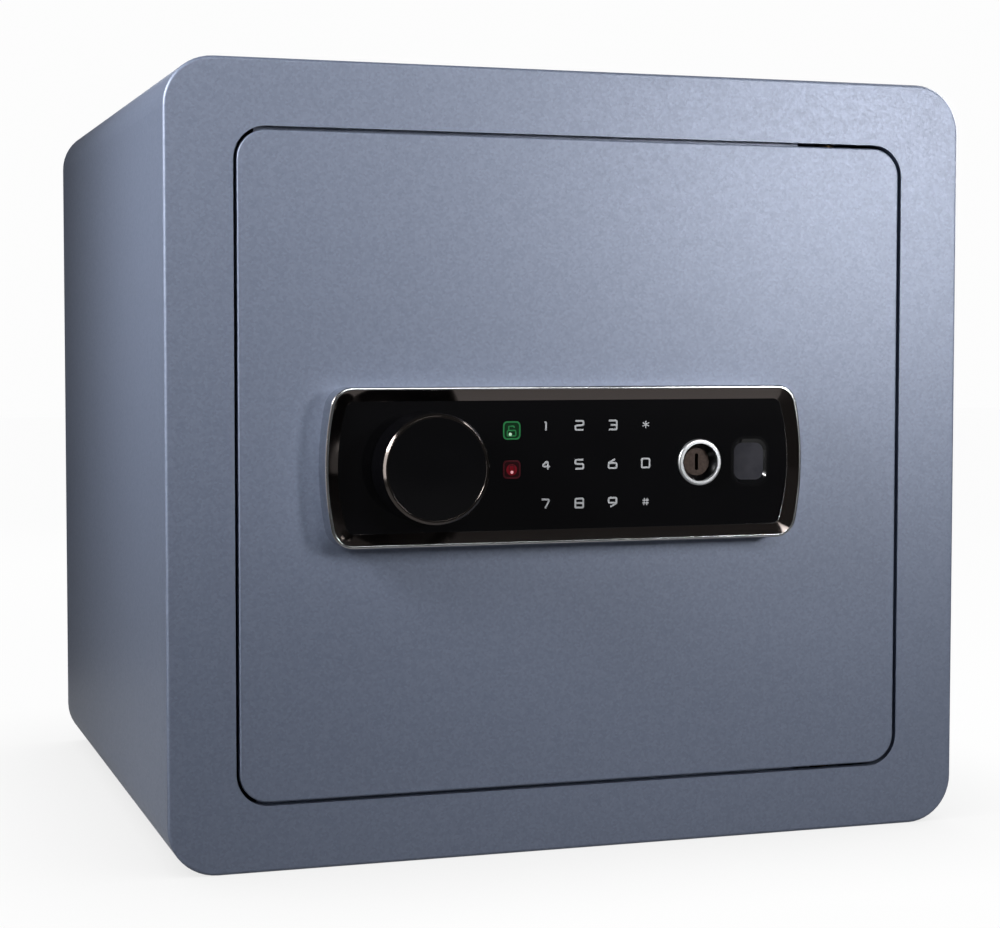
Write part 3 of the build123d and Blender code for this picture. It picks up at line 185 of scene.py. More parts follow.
lens = bpy.data.cameras.new("front_left_view")
lens.lens = CAMERA_LENS
lens.sensor_width = FILM_WIDTH
lens.shift_x = CAMERA_SHIFT_X
lens.shift_y = CAMERA_SHIFT_Y
camera = bpy.data.objects.new("front_left_view", lens)
camera.location = CAMERA_PLACE
camera.rotation_euler = (math.radians(90 - CAMERA_DOWN), 0.0, math.radians(CAMERA_TURN))
bpy.context.scene.collection.objects.link(camera)
bpy.context.scene.camera = camera

# Cabinet
# Three millimetre sheet steel, folded into a wrap with round corners, with a front plate and
# a back plate welded in. Powder coated: a blue-grey polyester with fine aluminium flake.

# Pattern sizes in millimetres. The flakes are drawn about five times their size, so that
# their sparkle shows.
FLAKE, FLAKE_CLOUD, PEEL = 1.1, 2.6, 1.6


def dress(material, *nodes):
    """Gives CAD nodes their finish."""
    for name in nodes:
        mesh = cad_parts[name].data
        mesh.materials.clear()
        mesh.materials.append(material)


def finish_shader(name):
    """A new material with a principled shader on its output, and Object coordinates."""
    made, tree, out = new_material(name)
    shader = add(tree, "ShaderNodeBsdfPrincipled")
    tree.links.new(shader.outputs[0], out.inputs["Surface"])
    where = add(tree, "ShaderNodeTexCoord")
    return made, tree, shader, where.outputs["Object"]


# Flake powder coat: a satin skin with a slight orange peel and a fine metallic grain.
flake_coat, tree, shader, place = finish_shader("flake_powder_coat")
flakes = add(tree, "ShaderNodeTexVoronoi", {"Vector": place, "Scale": 1000 / FLAKE}, feature="F1")
spark = add(tree, "ShaderNodeSeparateColor", {"Color": flakes.outputs["Color"]})
cloud = add(tree, "ShaderNodeTexNoise", {"Vector": place, "Scale": 1000 / FLAKE_CLOUD, "Detail": 2.0})
blend = add(tree, "ShaderNodeMath", {0: spark.outputs[0], 1: cloud.outputs["Fac"]}, operation="ADD")
share = add(tree, "ShaderNodeMapRange", {"Value": blend.outputs[0], "From Min": 0.4, "From Max": 1.6})
colour = add(tree, "ShaderNodeMix", {0: share.outputs[0], 6: tone("#667086"), 7: tone("#727C92")},
             data_type="RGBA")
tree.links.new(colour.outputs[2], shader.inputs["Base Color"])
rough = add(tree, "ShaderNodeMapRange", {"Value": spark.outputs[1], "To Min": 0.46, "To Max": 0.58})
tree.links.new(rough.outputs[0], shader.inputs["Roughness"])
peel = add(tree, "ShaderNodeTexNoise", {"Vector": place, "Scale": 1000 / PEEL, "Detail": 2.0})
skin = add(tree, "ShaderNodeBump", {"Height": peel.outputs["Fac"], "Strength": 0.06,
                                    "Distance": 0.0002})
tree.links.new(skin.outputs[0], shader.inputs["Normal"])
shader.inputs["Metallic"].default_value = 0.38
shader.inputs["Coat Weight"].default_value = 0.9
shader.inputs["Coat Roughness"].default_value = 0.45
shader.inputs["IOR"].default_value = 1.50
dress(flake_coat, "cabinet_shell", "front_frame", "back_plate", "door_plate", "door_pan",
      "door_back_cover", "strike_plate", "door_stop_top", "door_stop_bottom", "hinge_bracket_top",
      "hinge_bracket_bottom", "hinge_knuckle_top", "hinge_knuckle_bottom", "shelf", "shelf_supports")

# Lock panel surround
# Moulded ABS, plated; its side wall fits round the panel housing. The thin rim and the side
# wall are bright chrome. The bevel that falls in to the fascia gets a dark, warm chrome whose
# colour is a painted reflection of dark surroundings.


def reach(node):
    """A CAD node's lowest and highest corners in mm, rounded to a twentieth."""
    return [[round(v * 20000) / 20 for v in corner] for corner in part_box(node)]


def bowed_ring(half_w, half_h, bow, radius, x, y, z):
    """Points in metres round a rectangle with bowed ends and round corners, from sizes in mm."""
    # A straight end is drawn with half a micron of bow, so that it keeps a radius.
    bow = max(bow, 0.0005)
    end_r = (half_h ** 2 + bow ** 2) / (2 * bow)
    end_x = half_w - end_r
    corner_z = half_h - radius
    corner_x = end_x + math.sqrt((end_r - radius) ** 2 - corner_z ** 2)
    lean = math.atan2(corner_z, corner_x - end_x)
    quarter = []
    for i in range(9):
        angle = lean * i / 8
        quarter.append((end_x + end_r * math.cos(angle), end_r * math.sin(angle)))
    for i in range(1, 17):
        angle = lean + (math.pi / 2 - lean) * i / 16
        quarter.append((corner_x + radius * math.cos(angle), corner_z + radius * math.sin(angle)))
    half = quarter + [(-px, pz) for px, pz in reversed(quarter)]
    ring = half[:-1] + [(px, -pz) for px, pz in reversed(half)][:-1]
    return [((x + px) / 1000, y / 1000, (z + pz) / 1000) for px, pz in ring]


def softened(profile):
    """A closed profile of (inset, y, radius) corners as (inset, y) points, its corners rounded."""
    points = []
    for i, (inset, y, radius) in enumerate(profile):
        if radius == 0:
            points.append((inset, y))
            continue
        here = Vector((inset, y))
        before = (Vector(profile[i - 1][:2]) - here).normalized()
        after = (Vector(profile[(i + 1) % len(profile)][:2]) - here).normalized()
        half = math.acos(max(-1.0, min(1.0, before.dot(after)))) / 2
        middle = here + (before + after).normalized() * (radius / math.sin(half))
        start = here + before * (radius / math.tan(half)) - middle
        turn = math.pi - 2 * half
        sign = 1 if before.x * after.y - before.y * after.x < 0 else -1
        for k in range(6):
            angle = sign * turn * k / 5
            cosine, sine = math.cos(angle), math.sin(angle)
            points.append((middle.x + start.x * cosine - start.y * sine,
                           middle.y + start.x * sine + start.y * cosine))
    return points


def stacked(name, rings, material, closed=False, caps=True, sharp=35.0):
    """A skin over rings of equal count; closed joins the last ring to the first."""
    count = len(rings[0])
    points = [p for ring in rings for p in ring]
    faces = []
    layers = len(rings)
    for k in range(layers if closed else layers - 1):
        low = k * count
        high = ((k + 1) % layers) * count
        for i in range(count):
            j = (i + 1) % count
            faces.append((low + i, low + j, high + j, high + i))
    if caps and not closed:
        faces.append(tuple(range(count)))
        faces.append(tuple(range((layers - 1) * count, layers * count)))
    return mesh_piece(name, points, faces, material, sharp)


def plain_values(shader, colour, metallic, roughness, ior=None):
    """Sets the values that start a finish; a metal keeps the default IOR."""
    shader.inputs["Base Color"].default_value = tone(colour)
    shader.inputs["Metallic"].default_value = metallic
    shader.inputs["Roughness"].default_value = roughness
    if ior:
        shader.inputs["IOR"].default_value = ior


def hazed(name, colour, metallic, low, high, grain, detail, ior=None):
    """A smooth finish whose roughness runs from low to high over a noise; grain in mm."""
    made, tree, shader, place = finish_shader(name)
    plain_values(shader, colour, metallic, low, ior)
    haze = add(tree, "ShaderNodeTexNoise", {"Vector": place, "Scale": 1000 / grain, "Detail": detail})
    smear = add(tree, "ShaderNodeMapRange", {"Value": haze.outputs["Fac"], "To Min": low,
                                             "To Max": high})
    tree.links.new(smear.outputs[0], shader.inputs["Roughness"])
    return made


# Bright chrome over ABS: a cool mirror with the faint waves of a moulded skin under it.
bright_chrome = hazed("bright_chrome", "#D3D5D8", 1.0, 0.14, 0.24, 12.0, 1.0)
# Dark chrome over ABS: a warm dark mirror whose colour paints in a dark reflection; the pale card shows
# brown-grey in it.
black_chrome = hazed("black_chrome", "#6C6562", 1.0, 0.06, 0.13, 10.0, 1.0)

panel_low, panel_high = reach("panel_bezel")
PANEL_X, PANEL_Z = (panel_low[0] + panel_high[0]) / 2, (panel_low[2] + panel_high[2]) / 2
PANEL_HALF_W, PANEL_HALF_H = (panel_high[0] - panel_low[0]) / 2, (panel_high[2] - panel_low[2]) / 2
PANEL_FRONT, PANEL_BACK = panel_low[1], panel_high[1]
FASCIA_Y = reach("panel_fascia")[0][1]
END_BOW, PANEL_CORNER, LEAST_CORNER = 4.5, 10.0, 2.5
RIM_WIDTH, BEVEL_INSET, WALL_INSET, BEVEL_STEP = 1.2, 6.2, 2.2, 0.2
EDGE_R, RIM_R, FOOT_R = 0.8, 0.25, 0.08

surround_profile = softened([
    (0.0, PANEL_BACK, 0), (0.0, PANEL_FRONT, EDGE_R), (RIM_WIDTH, PANEL_FRONT, RIM_R),
    (BEVEL_INSET, FASCIA_Y - BEVEL_STEP, FOOT_R), (BEVEL_INSET, FASCIA_Y, 0),
    (WALL_INSET, FASCIA_Y, 0), (WALL_INSET, PANEL_BACK, 0)])
surround_rings = [
    bowed_ring(PANEL_HALF_W - inset, PANEL_HALF_H - inset, END_BOW,
               max(PANEL_CORNER - inset, LEAST_CORNER), PANEL_X, y, PANEL_Z)
    for inset, y in surround_profile]
surround = stacked("panel_surround", surround_rings, bright_chrome, closed=True)
surround.data.materials.append(black_chrome)
# The faces that lean, between the rim and the fascia, are the bevel, which gets the dark chrome of the
# painted reflection.
LEAST_LEAN, MOST_LEAN, DEPTH_MARGIN = 0.6, 0.95, 0.2
for face in surround.data.polygons:
    depth = face.center.y * 1000
    leans = LEAST_LEAN < -face.normal.y < MOST_LEAN
    if leans and PANEL_FRONT + DEPTH_MARGIN < depth < FASCIA_Y + DEPTH_MARGIN:
        face.material_index = 1
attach(surround, "door")
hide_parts("panel_bezel")

# Fascia
# A sheet of cast acrylic, gloss black from behind, with the keys and marks printed on it in
# pale grey ink. A painted glow in the ink stands for the board's lamps lighting it from below.

# Gloss black acrylic: a clear deep black with a clean, slightly hazy mirror.
gloss_acrylic = hazed("gloss_black_acrylic", "#08080A", 0.0, 0.05, 0.11, 20.0, 2.0, 1.49)
dress(gloss_acrylic, "panel_fascia")

# Strokes of each mark in a box 2 wide and 2 high, from its lower left corner.
MARKS = {
    "1": [[(0.75, 1.75), (1.05, 2.0), (1.05, 0.0)]],
    "2": [[(0.1, 2.0), (1.9, 2.0), (1.9, 1.05), (0.1, 0.95), (0.1, 0.0), (1.9, 0.0)]],
    "3": [[(0.1, 2.0), (1.9, 2.0), (1.9, 0.0), (0.1, 0.0)], [(0.5, 1.0), (1.9, 1.0)]],
    "4": [[(1.5, 0.0), (1.5, 2.0), (0.0, 0.6), (1.95, 0.6)]],
    "5": [[(1.9, 2.0), (0.1, 2.0), (0.1, 1.05), (1.9, 1.05), (1.9, 0.0), (0.1, 0.0)]],
    "6": [[(1.5, 2.0), (0.1, 1.2), (0.1, 0.0), (1.9, 0.0), (1.9, 1.15), (0.3, 1.15)]],
    "7": [[(0.1, 2.0), (1.9, 2.0), (0.9, 0.0)]],
    "8": [[(0.1, 0.0), (1.9, 0.0), (1.9, 2.0), (0.1, 2.0), (0.1, 0.0)], [(0.1, 1.0), (1.9, 1.0)]],
    "9": [[(0.5, 0.0), (1.9, 0.8), (1.9, 2.0), (0.1, 2.0), (0.1, 0.9), (1.7, 0.9)]],
    "0": [[(0.1, 0.3), (0.1, 2.0), (1.9, 2.0), (1.9, 0.0), (0.1, 0.0), (0.1, 0.4)]],
    "star": [[(1.0, 0.25), (1.0, 1.85)], [(0.25, 0.65), (1.75, 1.45)],
             [(0.25, 1.45), (1.75, 0.65)]],
    "hash": [[(0.6, 0.2), (0.75, 1.8)], [(1.25, 0.2), (1.4, 1.8)], [(0.25, 0.7), (1.7, 0.7)],
             [(0.3, 1.3), (1.75, 1.3)]],
}
KEYPAD = [["1", "2", "3", "star"], ["4", "5", "6", "0"], ["7", "8", "9", "hash"]]
KEY_COLUMNS = [-21.5, -5.5, 10.5, 26.5]
KEY_ROWS = [193.4, 176.0, 158.6]
KEY_W, KEY_H = 4.2, 4.0
# Line widths and corner radii, in metres.
DIGIT_LINE, DIGIT_CORNER = 0.00085, 0.00055
SIGN_LINE, SIGN_CORNER = 0.00052, 0.00010
# The strokes are pressed to this share of their width, and lie this far before the fascia.
FILM_SHARE, KEY_LIFT = 0.06, 0.012


def stroke_tree(name, material):
    """Geometry Nodes that turn edges into flat printed strokes with round corners."""
    made = bpy.data.node_groups.new(name, "GeometryNodeTree")
    made.interface.new_socket("Geometry", in_out="INPUT", socket_type="NodeSocketGeometry")
    for label in ("Line width", "Corner radius", "Film"):
        made.interface.new_socket(label, in_out="INPUT", socket_type="NodeSocketFloat")
    made.interface.new_socket("Geometry", in_out="OUTPUT", socket_type="NodeSocketGeometry")
    inputs = add(made, "NodeGroupInput")
    line = add(made, "GeometryNodeMeshToCurve", {"Mesh": inputs.outputs["Geometry"]})
    corners = add(made, "GeometryNodeFilletCurve", {
        "Curve": line.outputs["Curve"], "Radius": inputs.outputs["Corner radius"], "Count": 5,
        "Limit Radius": True}, mode="POLY")
    half = add(made, "ShaderNodeMath", {0: inputs.outputs["Line width"], 1: 0.5},
               operation="MULTIPLY")
    nib = add(made, "GeometryNodeCurvePrimitiveCircle", {"Resolution": 8, "Radius": half.outputs[0]})
    tube = add(made, "GeometryNodeCurveToMesh", {
        "Curve": corners.outputs["Curve"], "Profile Curve": nib.outputs["Curve"], "Fill Caps": True})
    spot = add(made, "GeometryNodeInputPosition")
    split = add(made, "ShaderNodeSeparateXYZ", {"Vector": spot.outputs[0]})
    depth = add(made, "ShaderNodeMath", {0: split.outputs["Y"], 1: inputs.outputs["Film"]},
                operation="MULTIPLY")
    flat = add(made, "ShaderNodeCombineXYZ", {"X": split.outputs["X"], "Y": depth.outputs[0],
                                              "Z": split.outputs["Z"]})
    pressed = add(made, "GeometryNodeSetPosition", {"Geometry": tube.outputs[0],
                                                    "Position": flat.outputs[0]})
    whole = add(made, "GeometryNodeRealizeInstances", {"Geometry": pressed.outputs[0]})
    inked = add(made, "GeometryNodeSetMaterial", {"Geometry": whole.outputs[0],
                                                  "Material": material})
    add(made, "NodeGroupOutput", {"Geometry": inked.outputs[0]})
    return made


def grown(name, points, edges, tree, values, shift):
    """Runs a Geometry Nodes tree over points and edges, and keeps its result as a plain mesh."""
    seed = bpy.data.meshes.new(name + "_seed")
    seed.from_pydata(points, edges, [])
    holder = bpy.data.objects.new(name + "_seed", seed)
    bpy.context.scene.collection.objects.link(holder)
    modifier = holder.modifiers.new("growth", "NODES")
    modifier.node_group = tree
    for item in tree.interface.items_tree:
        if item.item_type == "SOCKET" and item.in_out == "INPUT" and item.name in values:
            modifier[item.identifier] = values[item.name]
    view = bpy.context.evaluated_depsgraph_get()
    mesh = bpy.data.meshes.new_from_object(holder.evaluated_get(view), depsgraph=view)
    for corner in mesh.vertices:
        corner.co += Vector(shift)
    mesh.name = name
    bpy.data.objects.remove(holder)
    piece = bpy.data.objects.new(name, mesh)
    bpy.context.scene.collection.objects.link(piece)
    return piece


def stroke_points(marks, width, height):
    """Points and edges, in metres about y 0, for marks placed at (name, x, z) in mm."""
    points, edges = [], []
    for mark, x, z in marks:
        for line in MARKS[mark]:
            first = len(points)
            for px, pz in line:
                points.append(((x + (px - 1) * width / 2) / 1000, 0.0,
                               (z + (pz - 1) * height / 2) / 1000))
            edges += [(first + i, first + i + 1) for i in range(len(line) - 1)]
    return points, edges


def print_with_painted_glow(name, colour, level):
    """Ink on clear film with a painted glow that stands for a lamp behind it: level is how far it glows
    of itself.
    """
    made, tree, shader, place = finish_shader(name)
    plain_values(shader, colour, 0.0, 0.30, 1.5)
    shader.inputs["Specular IOR Level"].default_value = 0.1
    grain = add(tree, "ShaderNodeTexNoise", {"Vector": place, "Scale": 1000 / 1.4, "Detail": 2.0})
    # Painted glow: the emission strength runs over a noise between 0.6 and 1.25 of the level.
    spread = add(tree, "ShaderNodeMapRange", {
        "Value": grain.outputs["Fac"], "From Min": 0.25, "From Max": 0.75,
        "To Min": 0.6 * level, "To Max": 1.25 * level})
    shader.inputs["Emission Color"].default_value = tone(colour)
    tree.links.new(spread.outputs[0], shader.inputs["Emission Strength"])
    return made


# Pale grey ink: a matt print with a faint painted glow for a lamp behind it.
key_ink = print_with_painted_glow("pale_grey_ink", "#A6A8AB", 0.20)
ink_strokes = stroke_tree("printed_strokes", key_ink)
key_marks = [(KEYPAD[r][c], KEY_COLUMNS[c], KEY_ROWS[r]) for r in range(3) for c in range(4)]
for label, chosen, line_width, corner_radius in (
        ("keypad_digits", "0123456789", DIGIT_LINE, DIGIT_CORNER),
        ("keypad_signs", ("star", "hash"), SIGN_LINE, SIGN_CORNER)):
    points, edges = stroke_points([mark for mark in key_marks if mark[0] in chosen], KEY_W, KEY_H)
    key_print = grown(label, points, edges, ink_strokes,
                      {"Line width": line_width, "Corner radius": corner_radius,
                       "Film": FILM_SHARE}, (0.0, (FASCIA_Y - KEY_LIFT) / 1000, 0.0))
    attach(key_print, "door")

# Status icons
# Two windows in the black back print of the fascia, filled with clear colours: an open padlock
# in green above, a closed one in red below. A pale dot over each is a painted glow for the
# small lamp behind it.

ICON_X, GREEN_Z, RED_Z = -37.5, 191.5, 174.2
ICON_HALF, ICON_CORNER, ICON_MARGIN = 4.1, 1.7, 0.35
ROUND_R, GREEN_DOT_R, RED_DOT_R = 2.5, 0.75, 0.70
FILM_THICK = 0.05
# How far the face of each film, and the middle of each line, stands before the fascia, in mm.
WINDOW_LIFT, ROUND_LIFT, LINE_LIFT, DOT_LIFT = 0.03, 0.05, 0.07, 0.11
WINDOW_FRAME = [[(1.0, 0.0), (2.0, 0.0), (2.0, 2.0), (0.0, 2.0), (0.0, 0.0), (1.0, 0.0)]]
MARKS.update({
    "green_frame": WINDOW_FRAME,
    "green_lock": [[(0.45, 0.35), (0.45, 1.0), (1.5, 1.0), (1.5, 0.35), (0.45, 0.35)],
                   [(0.62, 1.0), (0.62, 1.5), (1.3, 1.5), (1.3, 1.3)]],
    "red_frame": WINDOW_FRAME,
    "red_lock": [[(0.7, 0.9), (0.7, 1.5), (1.3, 1.5), (1.3, 0.9)]],
})


def film_steps(lift):
    """Insets and depths in mm from a film's back edge to its softened front edge."""
    front = FASCIA_Y - lift
    soft = 0.3 * FILM_THICK
    return (0.0, front + FILM_THICK), (0.0, front + soft), (soft, front)


def icon_window(name, z, material):
    """A thin square film with round corners, its front edge softened."""
    rings = [bowed_ring(ICON_HALF - inset, ICON_HALF - inset, 0.0, ICON_CORNER - inset, ICON_X, y, z)
             for inset, y in film_steps(WINDOW_LIFT)]
    return stacked(name, rings, material)


def round_ring(radius, x, y, z, steps=96):
    """Points in metres round a circle in the plane at y, from sizes in mm."""
    turns = [2 * math.pi * i / steps for i in range(steps)]
    return [((x + radius * math.cos(t)) / 1000, y / 1000, (z + radius * math.sin(t)) / 1000)
            for t in turns]


def icon_dot(name, radius, x, z, lift, material):
    """A thin round film, its front edge softened."""
    rings = [round_ring(radius - inset, x, y, z, 32) for inset, y in film_steps(lift)]
    return stacked(name, rings, material)


# Clear inks over black, each with a painted glow: dark where unlit, with brighter lines and a pale
# painted glow dot over each lamp.
green_glow = print_with_painted_glow("green_window_ink", "#0A2613", 0.25)
red_glow = print_with_painted_glow("red_window_ink", "#1E0508", 0.25)
green_line = print_with_painted_glow("green_line_ink", "#24683B", 0.35)
red_line = print_with_painted_glow("red_line_ink", "#3E1218", 0.25)
red_round = print_with_painted_glow("red_round_ink", "#620B16", 0.35)
green_painted_glow = print_with_painted_glow("green_painted_lamp_glow", "#9FC2A8", 0.60)
red_painted_glow = print_with_painted_glow("red_painted_lamp_glow", "#D59AA2", 0.60)

status_pieces = [
    icon_window("green_window", GREEN_Z, green_glow),
    icon_window("red_window", RED_Z, red_glow),
    icon_dot("red_round", ROUND_R, ICON_X, RED_Z - 0.1, ROUND_LIFT, red_round),
    icon_dot("green_lamp_dot", GREEN_DOT_R, ICON_X - 0.7, GREEN_Z - 1.7, DOT_LIFT, green_painted_glow),
    icon_dot("red_lamp_dot", RED_DOT_R, ICON_X + 0.1, RED_Z - 1.2, DOT_LIFT, red_painted_glow),
]
# Name, height in mm, ink, then line width and corner radius in metres.
for label, icon_z, ink, line_width, corner_radius in (
        ("green_frame", GREEN_Z, green_line, 0.00070, 0.0017),
        ("green_lock", GREEN_Z, green_line, 0.00060, 0.0005),
        ("red_frame", RED_Z, red_line, 0.00070, 0.0017),
        ("red_lock", RED_Z, red_line, 0.00050, 0.0006)):
    icon_size = 2 * (ICON_HALF - ICON_MARGIN)
    points, edges = stroke_points([(label, ICON_X, icon_z)], icon_size, icon_size)
    status_pieces.append(grown(label, points, edges, stroke_tree(label + "_strokes", ink),
                               {"Line width": line_width, "Corner radius": corner_radius,
                                "Film": FILM_SHARE}, (0.0, (FASCIA_Y - LINE_LIFT) / 1000, 0.0)))
for piece in status_pieces:
    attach(piece, "door")

# Knob
# Turned and polished: a gloss black moulded grip, a black chrome edge ring with a
# chamfer that catches the light, and a dished gloss disc pressed into the face.

# Gloss black ABS: a deep black with a soft, slightly hazy shine.
gloss_abs = hazed("gloss_black_abs", "#060608", 0.0, 0.09, 0.16, 15.0, 2.0, 1.54)
dress(gloss_abs, "knob", "knob_cap")
# Deep black chrome: so dark a mirror that only the lamps show in it.
deep_chrome = hazed("deep_black_chrome", "#5B5552", 1.0, 0.10, 0.18, 9.0, 1.0)

ring_low, ring_high = reach("knob_trim_ring")
KNOB_X, KNOB_Z = (ring_low[0] + ring_high[0]) / 2, (ring_low[2] + ring_high[2]) / 2
RING_R = (ring_high[2] - ring_low[2]) / 2
RING_FRONT, RING_BACK = ring_low[1], ring_high[1]
CHAMFER, RING_WIDTH, RING_EDGE_R = 1.05, 1.9, 0.12
LIP_WIDTH, LIP_DROP = 0.15, 0.2

ring_profile = softened([
    (0.0, RING_BACK, 0), (0.0, RING_FRONT + CHAMFER, RING_EDGE_R), (CHAMFER, RING_FRONT, RING_EDGE_R),
    (RING_WIDTH - LIP_WIDTH, RING_FRONT, RING_EDGE_R), (RING_WIDTH, RING_FRONT + LIP_DROP, 0),
    (RING_WIDTH, RING_BACK, 0)])
ring_rings = [round_ring(RING_R - inset, KNOB_X, y, KNOB_Z) for inset, y in ring_profile]
knob_edge = stacked("knob_edge_ring", ring_rings, deep_chrome, closed=True, sharp=50.0)
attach(knob_edge, "knob")
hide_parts("knob_trim_ring")

# Key cylinder and finger reader
# A chromed ring round a black moulded funnel, with the turned face of the plug sunk in it; a
# black moulded guide round a dark glass window.

# Satin chrome: the same metal over a bead-blasted skin, so that it shows a soft light all round.
satin_chrome = hazed("satin_chrome", "#D3D5D8", 1.0, 0.26, 0.38, 0.6, 2.0)
dress(satin_chrome, "key_ring")
dress(gloss_abs, "key_barrel", "finger_guide", "panel_housing")


def worked(name, colour, other, metallic, low, high, grain, stretch=(1.0, 1.0, 1.0), depth=0.0,
           ior=None):
    """A finish between two colours and two roughnesses over a noise; grain and depth in mm."""
    made, tree, shader, place = finish_shader(name)
    plain_values(shader, colour, metallic, low, ior)
    spread = add(tree, "ShaderNodeMapping", {"Vector": place, "Scale": stretch})
    cloud = add(tree, "ShaderNodeTexNoise", {"Vector": spread.outputs[0], "Scale": 1000 / grain,
                                             "Detail": 3.0})
    share = add(tree, "ShaderNodeMapRange", {"Value": cloud.outputs["Fac"], "From Min": 0.3,
                                             "From Max": 0.7})
    shade = add(tree, "ShaderNodeMix", {0: share.outputs[0], 6: tone(colour), 7: tone(other)},
                data_type="RGBA")
    tree.links.new(shade.outputs[2], shader.inputs["Base Color"])
    rough = add(tree, "ShaderNodeMapRange", {"Value": share.outputs[0], "To Min": low, "To Max": high})
    tree.links.new(rough.outputs[0], shader.inputs["Roughness"])
    if depth:
        skin = add(tree, "ShaderNodeBump", {"Height": cloud.outputs["Fac"], "Strength": 0.6,
                                            "Distance": depth / 1000})
        tree.links.new(skin.outputs[0], shader.inputs["Normal"])
    return made


# Machined nickel silver, its colour painted dark brown: a painted reflection of the dark funnel round
# it.
painted_dark_plug_metal = worked("plug_metal_painted_reflection", "#433A36", "#342D2A", 1.0, 0.36, 0.50, 1.2)
dress(painted_dark_plug_metal, "key_plug")
# Dark glass over the reader: a deep grey with a soft mirror.
reader_glass = worked("dark_reader_glass", "#34343A", "#3C3C42", 0.0, 0.10, 0.16, 6.0, ior=1.52)
dress(reader_glass, "fingerprint_sensor")

# Electronics
# A fibreglass board with tinned touch pads, two lamps with milk-white lenses, the leads in a
# red sleeve and the rubber grommet that they leave through.

# Solder mask: a gloss green that darkens in faint patches over the copper below it.
solder_mask = worked("green_solder_mask", "#0E4D28", "#146235", 0.0, 0.22, 0.34, 3.0,
                     (1.0, 1.0, 0.25), 0.02, 1.5)
dress(solder_mask, "circuit_board")
# Tinned copper: a warm grey metal with soft pits from the dip.
tinned_copper = worked("tinned_copper", "#B59A7E", "#A98362", 1.0, 0.28, 0.42, 1.5, depth=0.02)
dress(tinned_copper, "touch_pads")
# Milky polycarbonate: pale, a little cloudy.
milky_lens = worked("milky_polycarbonate", "#D5DAD9", "#C6CDCB", 0.0, 0.25, 0.35, 2.0, ior=1.585)
dress(milky_lens, "indicator_lights")
# PVC sleeve: a dull red with drawn lines along it.
red_sleeve = worked("red_pvc_sleeve", "#8A1F1B", "#741814", 0.0, 0.42, 0.55, 1.5,
                    (1.0, 1.0, 0.2), 0.02, 1.53)
dress(red_sleeve, "wiring_leads")
# Moulded rubber: near black, dull, a faint bloom.
moulded_rubber = worked("moulded_rubber", "#151515", "#1D1D1C", 0.0, 0.70, 0.86, 2.5,
                        depth=0.03, ior=1.52)
dress(moulded_rubber, "cable_grommet")

# Bolt work
# Chromed solid bolts on a zinc plated carriage, and ground steel turned parts, held by zinc
# plated screws. The bush and thrust washers are oil-filled bronze.

# Chromed bar: bright, with rings left by the centreless grinding, drawn 0.5 mm apart.
chromed_bar = worked("chromed_bar", "#C9CBCE", "#BFC2C6", 1.0, 0.10, 0.20, 8.0, (16.0, 1.0, 1.0))
dress(chromed_bar, "locking_bolts")
# Bright zinc: a pale bluish metal whose crystals show as soft patches.
bright_zinc = worked("bright_zinc_plate", "#B7BABB", "#A7ABB0", 1.0, 0.26, 0.40, 5.0, depth=0.01)
dress(bright_zinc, "bolt_carriage", "bolt_screws", "door_screws", "solenoid_bracket")
# Ground steel: darker, with the fine lines of the wheel, drawn 0.4 mm apart.
ground_steel = worked("ground_steel", "#8F9298", "#7F8288", 1.0, 0.30, 0.44, 4.0, (1.0, 10.0, 1.0))
dress(ground_steel, "bolt_guide", "cam_screw", "crank_disc", "crank_pin", "guide_stud", "key_cam",
      "plunger", "plunger_clip", "spindle", "spindle_screw", "spindle_spacer", "stud_clip",
      "barrel_nut")
# Hinge pins: turned bright bar under a film of grease.
dress(worked("greased_bar", "#A2A3A3", "#8E8F8C", 1.0, 0.18, 0.36, 5.0), "hinge_pins")
# Oil-filled bronze: a dark brown with darker pores, drawn 0.8 mm across.
bronze = worked("oil_filled_bronze", "#3E3120", "#2E2416", 1.0, 0.34, 0.50, 0.8, depth=0.02)
dress(bronze, "thrust_washers", "spindle_bush")

# Battery tray and reset switch
# Moulded black ABS with a spark-eroded grain: the tray, its sliding lid, the switch and the
# solenoid's bobbin. The reset button is red, the contact strips nickel plated steel.

# Grained ABS: dark grey black, matt, a grain drawn 0.6 mm across.
grained_abs = worked("grained_black_abs", "#16171A", "#1D1E21", 0.0, 0.46, 0.60, 0.6,
                     depth=0.05, ior=1.54)
dress(grained_abs, "battery_tray", "battery_lid", "reset_switch", "solenoid_body")
# Nickel plate: a yellowish bright metal.
nickel_plate = worked("nickel_plate", "#C4BDAF", "#B4AC9C", 1.0, 0.16, 0.28, 3.0)
dress(nickel_plate, "battery_contacts")
# Moulded red ABS: even, half gloss.
red_abs = worked("moulded_red_abs", "#B01C16", "#A01812", 0.0, 0.32, 0.42, 2.0,
                 depth=0.01, ior=1.54)
dress(red_abs, "reset_button")

# Battery cells
# Four AA cells side by side, every second one turned over: a drawn steel can with a crimped
# rim and a raised end, in a shrunk film sleeve that turns in over both shoulders.

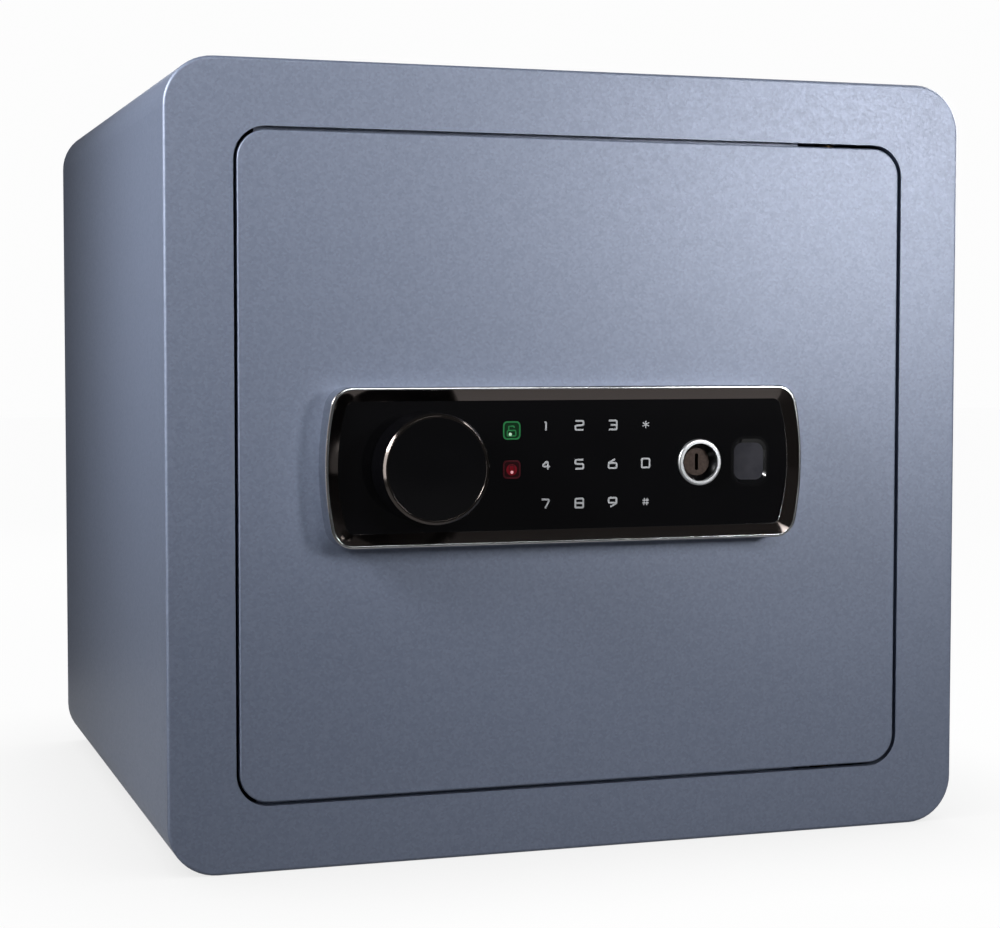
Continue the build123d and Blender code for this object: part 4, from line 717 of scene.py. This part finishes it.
# Radius and height from the flat end, in millimetres.
CELL_PROFILE = [
    (0.0, 0.0), (5.2, 0.0), (5.5, 0.25), (5.8, 0.25), (6.3, 0.0), (6.75, 0.12), (7.02, 0.45),
    (7.1, 0.9), (7.1, 36.0), (7.1, 48.3), (7.02, 48.8), (6.75, 49.15), (6.3, 49.3), (5.9, 49.1),
    (3.4, 49.1), (2.9, 49.3), (2.5, 49.6), (2.5, 50.1), (2.3, 50.3), (0.0, 50.3)]
CELL_COUNT, CELL_R, CELL_PITCH, CELL_SIDES = 4, 7.1, 15.0, 64
SLEEVE_LEAST_R, COPPER_FROM = 6.2, 36.0
cells_low, cells_high = reach("batteries")
CELL_Y = (cells_low[1] + cells_high[1]) / 2
CELL_LOW, CELL_HIGH = cells_low[2], cells_high[2]

# Printed film: dark grey over most of the sleeve, copper towards the raised end, lightly scuffed.
dark_film = worked("printed_dark_film", "#23262B", "#2A2D33", 0.0, 0.18, 0.36, 4.0, ior=1.5)
copper_film = worked("printed_copper_film", "#9A6238", "#8C5831", 0.0, 0.20, 0.34, 4.0, ior=1.5)
# Plated can steel: a pale metal with the soft grain of the drawing.
can_steel = worked("plated_can_steel", "#B9B8B2", "#A8A7A0", 1.0, 0.22, 0.34, 1.5)

for i in range(CELL_COUNT):
    cell_x = cells_low[0] + CELL_R + i * CELL_PITCH
    turned_over = i % 2 == 1
    rings = []
    for radius, up in CELL_PROFILE:
        z = CELL_HIGH - up if turned_over else CELL_LOW + up
        turns = [2 * math.pi * k / CELL_SIDES for k in range(CELL_SIDES)]
        rings.append([((cell_x + radius * math.cos(t)) / 1000, (CELL_Y + radius * math.sin(t)) / 1000,
                       z / 1000) for t in turns])
    cell = stacked("battery_cell_%d" % (i + 1), rings, dark_film, caps=False)
    cell.data.materials.append(can_steel)
    cell.data.materials.append(copper_film)
    for face in cell.data.polygons:
        middle = face.center * 1000
        out = math.hypot(middle.x - cell_x, middle.y - CELL_Y)
        along = CELL_HIGH - middle.z if turned_over else middle.z - CELL_LOW
        if out < SLEEVE_LEAST_R:
            face.material_index = 1
        elif along > COPPER_FROM:
            face.material_index = 2
    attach(cell, "door")
    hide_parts("batteries")

# Floor mat
# Needle felt 3 mm thick, cut from the roll with round holes over the anchor bolts. It lies
# loose on the floor of the cabinet.

# Needle felt: a dark grey with lighter and darker fibres, drawn 1 mm wide, and a soft bloom.
FIBRE, CLUMP, NAP = 1.0, 9.0, 0.6
needle_felt, tree, shader, place = finish_shader("needle_felt")
plain_values(shader, "#2B2C2F", 0.0, 0.95, 1.5)
shader.inputs["Sheen Weight"].default_value = 0.35
shader.inputs["Sheen Roughness"].default_value = 0.5
fibres = add(tree, "ShaderNodeTexNoise", {"Vector": place, "Scale": 1000 / FIBRE, "Detail": 4.0,
                                          "Distortion": 2.0})
clumps = add(tree, "ShaderNodeTexNoise", {"Vector": place, "Scale": 1000 / CLUMP, "Detail": 2.0})
mass = add(tree, "ShaderNodeMath", {0: fibres.outputs["Fac"], 1: clumps.outputs["Fac"]},
           operation="ADD")
share = add(tree, "ShaderNodeMapRange", {"Value": mass.outputs[0], "From Min": 0.7, "From Max": 1.3})
shade = add(tree, "ShaderNodeMix", {0: share.outputs[0], 6: tone("#1E1F22"), 7: tone("#3E4044")},
            data_type="RGBA")
tree.links.new(shade.outputs[2], shader.inputs["Base Color"])
nap = add(tree, "ShaderNodeBump", {"Height": mass.outputs[0], "Strength": 0.8, "Distance": NAP / 1000})
tree.links.new(nap.outputs[0], shader.inputs["Normal"])
dress(needle_felt, "floor_mat")
